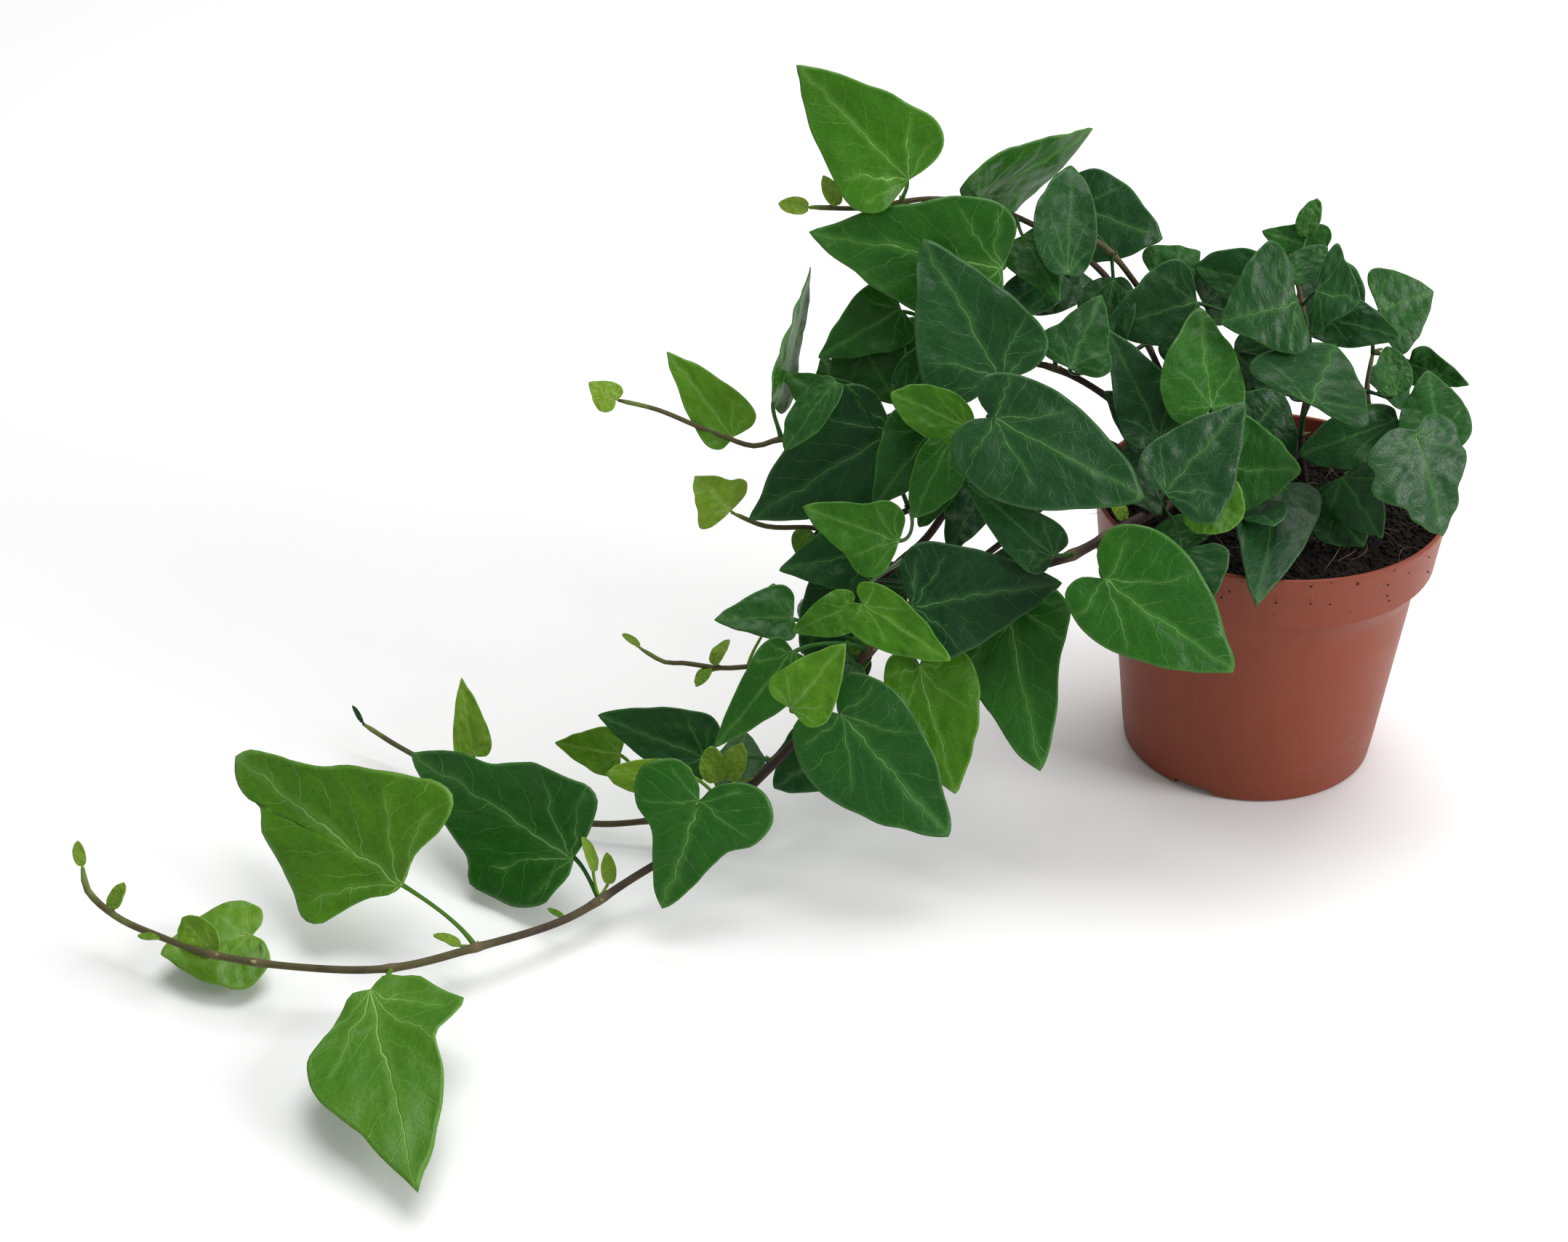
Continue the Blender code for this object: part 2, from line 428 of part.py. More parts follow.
def half_outline(half, length, width):
    """Evenly spread points from the notch round one edge to the tip."""
    fine = smooth_route([Vector((x * width / 2, y * length)) for x, y in half], length / 40)
    steps = BLADE_POINTS // 2
    walked = [0]
    for a, b in zip(fine, fine[1:]):
        walked.append(walked[-1] + (b - a).length)
    spread = []
    for i in range(steps + 1):
        goal = walked[-1] * i / steps
        at = min(range(len(fine)), key=lambda k: abs(walked[k] - goal))
        spread.append(fine[at])
    return spread


def blade_outline(kind, length, width, skew):
    """From the notch round the right edge, over the tip and back on the left."""
    right = half_outline(OUTLINES[kind], length, width)
    left = half_outline(LEFT_HALVES.get(kind, OUTLINES[kind]), length, width)
    outline = [Vector((p.x * (1 + skew), p.y)) for p in right]
    return outline + [Vector((-p.x * (1 - skew), p.y)) for p in reversed(left[1:-1])]


def bent(x, y, kind, length):
    """The height of a blade above its flat outline."""
    fold, tip, side = BENDS[kind]
    along = max(y, 0) / length
    return fold * math.sqrt(x * x + (0.04 * length) ** 2) - tip * length * along**2 - side * x * x / length * 2


def leaf_frame(base, angles):
    """The matrix of a leaf: Y along the midrib to the tip, Z out of its upper face."""
    heading, rise, roll = (math.radians(a) for a in angles)
    midrib = Vector((math.cos(rise) * math.cos(heading), math.cos(rise) * math.sin(heading), math.sin(rise)))
    level = midrib.cross(Vector((0, 0, 1))).normalized()
    upright = level.cross(midrib)
    face = upright * math.cos(roll) + midrib.cross(upright) * math.sin(roll)
    side = midrib.cross(face)
    turn = Matrix((side, midrib, face)).transposed()
    return Matrix.Translation(Vector(base) * CM) @ turn.to_4x4()


def skew_of(index, kind):
    """How much wider a blade is on its right; outlines with their own left half stay as drawn."""
    return 0 if kind in LEFT_HALVES else 0.14 * math.sin(2.4 * index)


def make_blade(name, index, row, collection, material=None):
    _, _, base, angles, size, kind, _ = row
    length, width = size[0] * CM, size[1] * CM
    outline = blade_outline(kind, length, width, skew_of(index, kind))
    middle = Vector((0, BLADE_CENTRE * length))
    form = bmesh.new()
    centre = form.verts.new((*middle, bent(*middle, kind, length)))
    rings = []
    for step in range(1, BLADE_RINGS + 1):
        flat = [middle + (point - middle) * step / BLADE_RINGS for point in outline]
        rings.append([form.verts.new((*point, bent(*point, kind, length))) for point in flat])
    count = len(outline)
    for i in range(count):
        j = (i + 1) % count
        form.faces.new((centre, rings[0][i], rings[0][j]))
        for inner, outer in zip(rings, rings[1:]):
            form.faces.new((inner[i], outer[i], outer[j], inner[j]))
    mesh = bpy.data.meshes.new(name)
    form.to_mesh(mesh)
    form.free()
    mesh.shade_smooth()
    blade = add_object(name, mesh, collection, material)
    blade.matrix_world = leaf_frame(base, angles)
    shell = blade.modifiers.new("thickness", "SOLIDIFY")
    shell.thickness = BLADE
    shell.offset = 0
    return blade


def petiole_route(row, joined):
    """From the stem's skin, or its middle for a sprout, to just inside the base of the blade."""
    _, stem, base, angles, size, _, _ = row
    frame = leaf_frame(base, angles)
    foot = frame.translation
    midrib = frame.col[1].to_3d()
    face = frame.col[2].to_3d()
    route = stem_route(stem)[1:]
    near = min(range(len(route)), key=lambda i: (route[i] - foot).length)
    back = min(0.35 * (route[near] - foot).length, 1.2 * CM)
    at = max(0, near - round(back / STEM_STEP))
    thick, thin, _ = STEMS[stem]
    skin = (thick + (thin - thick) * at / len(route)) * MM
    run = (route[min(at + 1, len(route) - 1)] - route[max(at - 1, 0)]).normalized()
    reach = foot - route[at]
    out = (reach - run * reach.dot(run) * 0.8).normalized()
    start = route[at] + out * (0 if joined else skin + GAP + 0.7 * PETIOLE_RADIUS)
    pull = (foot - start).length / 3
    end = foot + midrib * 2 * MM
    bend = foot - (midrib * 0.5 + face * 0.5) * pull
    return [bezier(start, start + out * pull, bend, end, i / PETIOLE_STEPS) for i in range(PETIOLE_STEPS + 1)]


def make_petiole(name, row, joined, helpers):
    places = petiole_route(row, joined)
    petiole = tube(name, places, [PETIOLE_RADIUS] * len(places), PETIOLE_SIDES, helpers)
    hide_helper(petiole)
    return petiole


def make_stems(collection, helpers):
    colour = finish("stem", (0.09, 0.05, 0.03), 0.6)
    for name, (thick, thin, _) in STEMS.items():
        places = stem_route(name)
        last = len(places) - 1
        radii = [(thick + (thin - thick) * i / last) * MM for i in range(last + 1)]
        stem = tube(name, places, radii, STEM_SIDES, collection, colour)
        for index, row in enumerate(SPROUTS):
            if row[1] != name:
                continue
            blade = make_blade(f"{row[0]}_blade", index, row, helpers)
            hide_helper(blade)
            boolean(blade, make_petiole(f"{row[0]}_petiole", row, True, helpers), "UNION")
            boolean(stem, blade, "UNION")


def make_leaves(collection, helpers):
    for index, row in enumerate(LEAVES):
        name, tone = row[0], row[6]
        blade = make_blade(name, index, row, collection, finish(name, leaf_colour(tone), 0.35))
        boolean(blade, make_petiole(f"{name}_petiole", row, False, helpers), "UNION")


def main():
    clear_scene()
    ivy = new_collection("potted_ivy")
    helpers = new_collection("cutters_and_guides")
    make_pot(ivy, helpers)
    make_soil(ivy, helpers)
    make_stems(ivy, helpers)
    make_leaves(ivy, helpers)


main()
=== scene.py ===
"""Potted ivy: the finished surfaces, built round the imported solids.

Metres, +Z up, -Y is the front. Each blade in LEAVES is placed by the tip of its own CAD solid, small growth
by its stem, and the pot and the soil by their boxes. The stems repeat the CAD routes. Everything rides on
the one body, "root".
"""

import math

import bmesh
import bpy
from mathutils import Matrix, Vector, noise


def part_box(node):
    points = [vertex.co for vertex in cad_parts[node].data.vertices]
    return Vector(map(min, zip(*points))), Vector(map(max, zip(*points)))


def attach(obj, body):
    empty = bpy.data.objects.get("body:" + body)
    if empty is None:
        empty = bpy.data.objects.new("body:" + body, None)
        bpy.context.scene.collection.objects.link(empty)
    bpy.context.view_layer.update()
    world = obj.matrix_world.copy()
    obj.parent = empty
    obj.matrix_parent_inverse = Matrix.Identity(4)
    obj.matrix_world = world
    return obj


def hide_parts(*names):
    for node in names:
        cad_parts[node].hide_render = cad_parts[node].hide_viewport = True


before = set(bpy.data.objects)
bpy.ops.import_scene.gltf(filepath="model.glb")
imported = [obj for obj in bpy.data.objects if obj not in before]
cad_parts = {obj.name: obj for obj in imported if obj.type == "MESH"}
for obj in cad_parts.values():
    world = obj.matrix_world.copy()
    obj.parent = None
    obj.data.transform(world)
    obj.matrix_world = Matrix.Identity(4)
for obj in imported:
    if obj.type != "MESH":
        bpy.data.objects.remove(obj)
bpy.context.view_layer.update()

CM = 0.01
MM = 0.001

# Blades
EDGE_POINTS = 72
BLADE_RINGS = (0.13, 0.29, 0.45, 0.59, 0.71, 0.81, 0.89, 0.95, 1)
BLADE_CENTRE = 0.2
BLADE = 0.5 * MM
STALK_RADIUS = 0.7 * MM
STALK_STEPS = 14
STALK_SIDES = 8
FULL_LENGTH = 4.5 * CM

# What sets one leaf or bud apart from the next
GOLDEN_TURN = 2.4
SEED_STEP = 0.618
SEED_RANGE = 9
SKEW = 0.14

# Stems
STEM_STEP = 13 * MM
FINE_STEP = 3 * MM
STEM_SIDES = 10
SWELLING = 2.2 * MM

# Pot
POT_SEGMENTS = 144
POT_WALL = 1.4 * MM
BAND_INSET = 2.6 * MM
WALL_INSET = 8 * MM
FOOT_RADIUS = 43.7 * MM
BAND_HEIGHT = 20 * MM
SHOULDER_DROP = 8 * MM
PAD_RADIUS = 12 * MM
FLOOR_LIFT = 3 * MM
FLOOR_TOP = 4.4 * MM
FOOT_RING_WIDTH = 5 * MM
FOOT_ROUND = 1.6 * MM
LIP_ROUND = 0.8 * MM
NOTCH_TURNS = (237, 57)
NOTCH_SIZE = (12 * MM, 14 * MM, 5.2 * MM)
NOTCH_CIRCLE = 43 * MM
DRAIN_COUNT = 6
DRAIN_RADIUS = 4 * MM
DRAIN_CIRCLE = 26 * MM
SHARP_EDGE = 38

# Soil, and the dirt on the front of the rim band
SOIL_RADIUS = 55.4 * MM
SOIL_DEPTH = 14 * MM
SOIL_CROWN = 1.6 * MM
SOIL_LUMPS = 2.6 * MM
SOIL_RINGS = 26
SOIL_SEGMENTS = 96
CRUMBS = 2200
FIBRES = 90
DIRT_TURNS = (245, 325)
DIRT_HEIGHT = 13 * MM
DIRT_SPECKS = 24
DIRT_FIBRES = 9

# Each stem: radius at the root and at the tip in millimetres, then its route in centimetres
STEMS = {
    "long_trailer": (1.8, 1.1, (
        (-1.7, -1.5, 8.7), (-1.7, -1.5, 9.5), (-3.3, -2.4, 10.8), (-5.1, -3.8, 10.9), (-7.2, -4.8, 10.2),
        (-8.5, -4.9, 9.8), (-10.4, -4.9, 9.2), (-12.3, -5.2, 8.3), (-13.8, -5.9, 7.2),
        (-14.7, -6.4, 6.3), (-16.1, -7.4, 4.8), (-17.5, -8.2, 3.6), (-19.4, -9.5, 2.3),
        (-21.5, -10.4, 1.3), (-23.6, -12.2, 1.0), (-26.3, -13.9, 1.2), (-28.8, -15.3, 1.5),
        (-31.4, -15.4, 1.6), (-34.3, -14.9, 1.7), (-36.5, -13.8, 1.7), (-37.7, -13.2, 1.9),
        (-38.7, -12.4, 2.3), (-38.9, -11.9, 2.8),
    )),
    "ground_trailer": (1.6, 0.9, (
        (-2.6, -0.1, 8.7), (-2.6, -0.1, 9.5), (-4.8, -0.7, 11.3), (-7.6, -1.2, 12.4),
        (-10.3, -1.4, 11.2), (-11.8, -2.1, 9.3), (-13.3, -2.5, 7.8), (-14.1, -3.4, 6.1),
        (-15.6, -4.7, 4.3), (-17.0, -6.4, 3.1), (-18.8, -6.7, 1.6), (-22.1, -6.7, 0.8),
        (-24.5, -6.2, 0.7), (-27.3, -4.5, 0.8), (-30.1, -2.4, 1.0), (-31.4, -1.6, 1.4),
    )),
    "lower_shoot": (1.3, 0.8, (
        (-3.6, 0.5, 8.7), (-3.6, 0.5, 9.5), (-6.2, -0.0, 10.4), (-9.6, -1.2, 8.2), (-12.6, -2.2, 6.2),
        (-14.8, -3.1, 5.1), (-17.8, -3.9, 5.3), (-18.7, -4.3, 5.5), (-20.0, -4.3, 5.7),
        (-20.6, -4.4, 5.8), (-21.4, -4.2, 6.2),
    )),
    "middle_shoot": (1.3, 0.8, (
        (-3.2, 0.8, 8.7), (-3.2, 0.8, 9.5), (-6.2, 0.8, 11.6), (-9.2, -0.4, 11.7), (-12.4, -1.8, 10.2),
        (-14.8, -2.2, 9.7), (-15.9, -2.3, 9.8), (-17.2, -2.4, 9.9), (-18.3, -2.4, 10.4),
    )),
    "upper_shoot": (1.3, 0.8, (
        (-2.9, 1.3, 8.7), (-2.9, 1.3, 9.5), (-5.2, 1.3, 12.5), (-8.7, 1.0, 14.3), (-12.4, -0.2, 13.2),
        (-14.8, -0.9, 12.5), (-16.7, -1.1, 12.5), (-17.6, -1.4, 12.4), (-18.7, -1.4, 12.8),
        (-19.5, -1.3, 13.1), (-20.8, -1.1, 13.6), (-22.1, -1.0, 13.9),
    )),
    "crown_shoot": (1.3, 0.8, (
        (-2.2, 1.2, 8.7), (-2.2, 1.2, 9.5), (-3.7, 1.8, 13.3), (-5.8, 2.7, 16.7), (-8.8, 3.2, 18.6),
        (-11.5, 3.1, 19.3), (-13.9, 2.8, 19.1), (-15.7, 2.6, 19.2),
    )),
    "arching_stem": (1.4, 0.9, (
        (-1.9, 0.2, 8.7), (-1.9, 0.2, 9.5), (-2.6, 2.2, 13.1), (-4.9, 3.1, 16.5), (-6.3, 3.0, 17.9),
        (-7.8, 2.8, 18.0), (-9.3, 2.7, 17.6),
    )),
    "right_stem": (1.2, 0.8, (
        (3.7, -0.4, 8.7), (3.7, -0.4, 9.5), (3.5, 0.3, 11.6), (3.1, 1.0, 13.2), (3.3, 1.7, 14.3),
    )),
    "back_stem": (1.2, 0.8, (
        (1.3, -0.2, 8.7), (1.3, -0.2, 9.5), (0.9, 0.4, 11.8), (1.2, 1.5, 14.0), (0.9, 2.5, 15.7),
        (0.6, 3.3, 16.9),
    )),
    "front_stem": (1.2, 0.8, (
        (-0.8, -1.3, 8.7), (-0.8, -1.3, 9.5), (-1.5, -1.8, 10.5), (-2.1, -2.1, 11.5), (-2.8, -2.1, 12.0),
    )),
}

# Half outlines, from the notch at the petiole to the tip: share of the half width, share of the length
OUTLINES = {
    "heart": ((0, 0), (0.25, -0.12), (0.66, -0.13), (0.96, 0.04), (1, 0.26), (0.78, 0.55), (0.38, 0.82),
              (0.10, 0.97), (0, 1)),
    "winged": ((0, 0), (0.12, -0.16), (0.45, -0.28), (0.88, -0.20), (1, 0), (0.86, 0.20), (0.56, 0.34),
               (0.40, 0.56), (0.22, 0.82), (0.06, 0.97), (0, 1)),
    "arrow": ((0, 0), (0.30, -0.02), (0.72, -0.02), (1, 0.10), (0.93, 0.31), (0.66, 0.58), (0.32, 0.83),
              (0.08, 0.97), (0, 1)),
    "lobed": ((0, 0), (0.34, 0), (0.76, 0.04), (1, 0.18), (0.90, 0.32), (0.70, 0.44), (0.52, 0.64),
              (0.28, 0.85), (0.07, 0.97), (0, 1)),
    "oval": ((0, 0), (0.42, 0), (0.82, 0.14), (1, 0.38), (0.88, 0.64), (0.54, 0.86), (0.14, 0.98), (0, 1)),
    "ruffled": ((0, 0), (0.34, -0.09), (0.70, -0.04), (0.96, 0.09), (0.88, 0.22), (1, 0.36), (0.86, 0.52),
                (0.58, 0.62), (0.50, 0.76), (0.20, 0.91), (0, 1)),
    "broad": ((0, 0), (0.42, 0.01), (0.81, -0.02), (1.18, 0.02), (1.22, 0.13), (1.13, 0.20), (0.87, 0.42),
              (0.52, 0.64), (0.39, 0.74), (0.34, 0.82), (0.16, 0.96), (0, 1)),
    "shield": ((0, 0), (0.38, -0.01), (0.70, 0), (0.90, 0.02), (0.98, 0.09), (0.95, 0.17), (0.90, 0.31),
               (0.84, 0.41), (0.60, 0.54), (0.50, 0.61), (0.41, 0.76), (0.20, 0.89), (0, 1)),
    "kite": ((0, 0), (0.20, 0), (0.34, 0.04), (0.52, 0.13), (0.66, 0.20), (0.77, 0.24), (0.88, 0.29),
             (0.89, 0.39), (0.82, 0.48), (0.70, 0.57), (0.50, 0.68), (0.39, 0.77), (0.23, 0.86), (0, 1)),
}

# Left halves of the outlines that differ from side to side
LEFT_HALVES = {
    "broad": ((0, 0), (0.17, 0.02), (0.39, 0.10), (0.79, 0.17), (0.92, 0.19), (1, 0.24), (0.98, 0.30),
              (0.84, 0.39), (0.68, 0.53), (0.52, 0.67), (0.36, 0.73), (0.29, 0.77), (0.31, 0.82),
              (0.26, 0.89), (0.10, 0.97), (0, 1)),
    "shield": ((0, 0), (0.22, -0.03), (0.48, -0.02), (0.73, 0), (0.90, 0.06), (1.04, 0.13), (1.09, 0.18),
               (1.12, 0.35), (1.04, 0.40), (0.87, 0.44), (0.78, 0.49), (0.74, 0.54), (0.28, 0.86),
               (0.15, 0.94), (0, 1)),
    "kite": ((0, 0), (0.18, -0.05), (0.36, -0.03), (0.59, 0), (0.70, 0.06), (0.84, 0.12), (1, 0.19),
             (0.93, 0.24), (0.84, 0.29), (0.69, 0.33), (0.61, 0.37), (0.61, 0.52), (0.50, 0.67),
             (0.36, 0.78), (0.25, 0.87), (0, 1)),
}

# How each kind of blade bends: the V along its midrib, and how far its tip and its sides droop
BENDS = {
    "heart": (0.10, 0.10, 0.10),
    "winged": (0.12, 0.10, 0.10),
    "arrow": (0.14, 0.08, 0.08),
    "lobed": (0.12, 0.10, 0.08),
    "oval": (0.20, 0.10, 0.06),
    "ruffled": (0.10, 0.06, 0.12),
    "broad": (0.10, 0.08, 0.08),
    "shield": (0.10, 0.08, 0.10),
    "kite": (0.08, 0.08, 0.08),
}

# Blades that stand for CAD leaves: node, stem, heading, rise and roll in degrees, length and width in
# centimetres, outline, and tone from 0, old and dark, to 1, young and pale; the backlit leaf's tone also
# paints the light through it
LEAVES = (
    ("top_bright", "crown_shoot", (155, 40, -50), (5.3, 3.9), "arrow", 0.58),
    ("top_edge", "crown_shoot", (25, 15, 115), (4.8, 3.6), "heart", 0.42),
    ("dark_oval", "arching_stem", (85, 45, 5), (4.0, 2.1), "oval", 0.15),
    ("grey_back", "arching_stem", (-15, -15, 55), (3.2, 3.2), "heart", 0.10),
    ("mid_large", "arching_stem", (175, 10, -60), (6.5, 4.4), "arrow", 0.40),
    ("big_dark", "upper_shoot", (130, 45, -30), (5.4, 4.2), "arrow", 0.12),
    ("big_heart", "ground_trailer", (-10, -25, 55), (5.7, 3.9), "heart", 0.08),
    ("edge_thin", "upper_shoot", (65, 45, 95), (4.9, 2.6), "arrow", 0.45),
    ("under_tri", "upper_shoot", (-155, -20, -50), (3.2, 2.4), "arrow", 0.35),
    ("dark_triangle", "ground_trailer", (-160, -25, -55), (5.6, 4.0), "arrow", 0.08),
    ("bright_lobed", "middle_shoot", (175, 20, -60), (3.3, 2.6), "lobed", 0.50),
    ("grey_green", "upper_shoot", (-135, -35, -40), (3.2, 2.4), "arrow", 0.25),
    ("dark_narrow", "long_trailer", (160, 35, -55), (3.8, 1.8), "arrow", 0.15),
    ("large_dark", "long_trailer", (0, 10, 60), (4.9, 3.8), "arrow", 0.03),
    ("large_green", "long_trailer", (-75, -45, 15), (6.2, 4.5), "lobed", 0.38),
    ("big_bright", "long_trailer", (-20, -30, 55), (5.2, 4.0), "heart", 0.40),
    ("small_heart", "ground_trailer", (-30, -20, 50), (3.3, 1.8), "heart", 0.62),
    ("back_point", "middle_shoot", (-165, -5, -55), (3.0, 2.5), "arrow", 0.15),
    ("back_round", "lower_shoot", (-150, -40, -45), (3.1, 3.2), "heart", 0.10),
    ("folded_left", "long_trailer", (-170, 5, -40), (2.6, 1.9), "arrow", 0.30),
    ("mid_green", "long_trailer", (-140, -35, -40), (4.0, 2.0), "arrow", 0.40),
    ("lime_arrow", "long_trailer", (25, 45, 50), (2.7, 2.2), "arrow", 0.70),
    ("big_dark_heart", "long_trailer", (-30, -40, 45), (5.3, 3.9), "heart", 0.28),
    # backlit: its pale tone is partly its own green and partly painted light that shines through the blade
    ("backlit", "long_trailer", (-65, -50, 20), (4.3, 3.0), "heart", 0.64),
    ("dark_grey", "ground_trailer", (165, 15, -55), (4.0, 2.4), "arrow", 0.20),
    ("dark_winged", "long_trailer", (-125, -55, -30), (3.7, 4.6), "winged", 0.38),
    ("large_ground_dark", "long_trailer", (140, 5, -50), (8.0, 4.6), "shield", 0.33),
    ("large_ground_bright", "long_trailer", (140, 10, -45), (8.4, 5.4), "broad", 0.68),
    ("lime_round", "long_trailer", (-165, 0, -10), (2.9, 3.6), "heart", 0.80),
    ("bottom_leaf", "long_trailer", (-75, 0, 10), (8.2, 5.2), "kite", 0.66),
    ("r_dark_left", "back_stem", (-165, -10, -55), (3.4, 3.0), "arrow", 0.12),
    ("r_grazing", "back_stem", (30, 25, 80), (2.7, 2.4), "arrow", 0.12),
    ("r_sheen", "back_stem", (-160, -5, -55), (2.7, 3.8), "arrow", 0.14),
    ("r_dark_mid", "back_stem", (-20, -5, 55), (1.5, 3.2), "lobed", 0.15),
    ("r_upright", "back_stem", (75, 50, 15), (3.0, 2.4), "oval", 0.10),
    ("r_right_top", "right_stem", (20, 10, 55), (2.2, 3.0), "arrow", 0.26),
    ("r_bright_oval", "front_stem", (95, 50, 0), (3.5, 2.8), "heart", 0.42),
    ("r_sheen_left", "front_stem", (130, 50, -30), (4.0, 2.4), "arrow", 0.08),
    ("r_mid_left", "crown_shoot", (55, 45, 30), (2.8, 2.6), "lobed", 0.20),
    ("r_grey_wide", "back_stem", (60, 30, 25), (2.6, 4.3), "arrow", 0.10),
    ("r_dark_cross", "long_trailer", (35, 35, 45), (4.0, 3.2), "arrow", 0.06),
    ("r_mid_tip", "front_stem", (-10, 5, 60), (2.3, 3.2), "arrow", 0.30),
    ("r_hanging", "front_stem", (-105, -20, -15), (5.2, 3.0), "arrow", 0.03),
    ("r_twisted", "right_stem", (-50, -40, 55), (2.4, 2.4), "arrow", 0.12),
    ("r_dark_back", "right_stem", (-165, -15, -55), (3.5, 2.0), "oval", 0.12),
    ("r_over_rim", "right_stem", (-50, -60, 10), (3.6, 3.8), "ruffled", 0.12),
    ("r_over_back", "right_stem", (100, 50, -10), (2.4, 2.4), "heart", 0.25),
    ("r_rim_left", "long_trailer", (-75, -45, 15), (2.3, 2.8), "arrow", 0.12),
)

# Small leaves that grow out of their stem, with the place of the blade's base in centimetres as well
SPROUTS = (
    ("round_mid", "upper_shoot", (-14.0, 0.9, 15.0), (-50, -40, 35), (2.3, 2.6), "heart", 0.35),
    ("small_dark", "upper_shoot", (-12.7, -0.9, 13.8), (35, 50, 45), (2.3, 1.7), "oval", 0.20),
    ("mid_narrow", "ground_trailer", (-11.2, -3.6, 14.0), (-125, -45, -30), (2.9, 1.7), "oval", 0.40),
    ("narrow_bright", "ground_trailer", (-10.9, -2.5, 12.4), (-135, -45, -35), (2.5, 1.1), "oval", 0.40),
    ("light_over", "ground_trailer", (-10.6, -3.4, 14.1), (175, 25, -60), (2.8, 1.7), "oval", 0.60),
    ("small_bright", "long_trailer", (-14.5, -6.9, 9.5), (-160, -15, -55), (2.0, 1.4), "heart", 0.60),
    ("behind_stem", "ground_trailer", (-14.9, -6.5, 3.7), (-165, -30, -55), (2.5, 2.4), "heart", 0.15),
    ("lime_leaf", "long_trailer", (-19.6, -8.9, 4.3), (-175, 5, -60), (2.8, 1.2), "oval", 0.86),
    ("pale_behind", "ground_trailer", (-22.1, -5.8, 3.0), (170, 5, -60), (2.3, 1.7), "arrow", 0.78),
    ("light_upright", "ground_trailer", (-27.3, -4.0, 1.7), (105, 50, -10), (2.8, 1.3), "arrow", 0.86),
    ("pale_small", "long_trailer", (-34.3, -14.8, 1.7), (140, 20, -45), (1.7, 1.3), "oval", 0.85),
    ("r_tri", "arching_stem", (-4.0, 4.0, 16.1), (20, 20, 50), (1.9, 2.2), "arrow", 0.30),
    ("r_under", "back_stem", (1.7, 3.7, 17.1), (165, 15, -55), (2.2, 1.8), "arrow", 0.35),
    ("r_folded", "right_stem", (4.4, 1.0, 14.3), (-20, -15, 85), (2.1, 1.4), "arrow", 0.25),
    ("r_lime_tip", "front_stem", (-3.4, -4.4, 12.5), (-25, -25, 50), (1.9, 2.2), "oval", 0.65),
    ("r_small_soil", "right_stem", (1.6, -2.7, 10.6), (-45, -30, 40), (1.5, 2.2), "heart", 0.12),
    ("r_crinkled", "right_stem", (3.7, -0.5, 13.8), (95, 45, -5), (1.8, 1.2), "oval", 0.30),
    ("r_strip", "front_stem", (-4.4, -3.9, 10.2), (10, 15, 55), (2.2, 1.2), "oval", 0.25),
    ("r_behind", "back_stem", (-1.1, 3.4, 13.5), (-30, -30, 45), (1.8, 2.6), "heart", 0.10),
    ("r_fill_a", "back_stem", (-0.8, -0.0, 12.3), (40, 35, 45), (1.7, 2.8), "heart", 0.10),
    ("r_back_row", "upper_shoot", (-8.7, 1.7, 16.2), (15, 10, 55), (2.7, 1.6), "oval", 0.12),
    ("folded_dark", "middle_shoot", (-14.9, -2.4, 15.3), (-140, -35, -10), (2.8, 1.4), "oval", 0.25),
    ("r_top", "back_stem", (0.1, 2.1, 16.9), (25, 25, 50), (1.9, 1.1), "oval", 0.25),
)

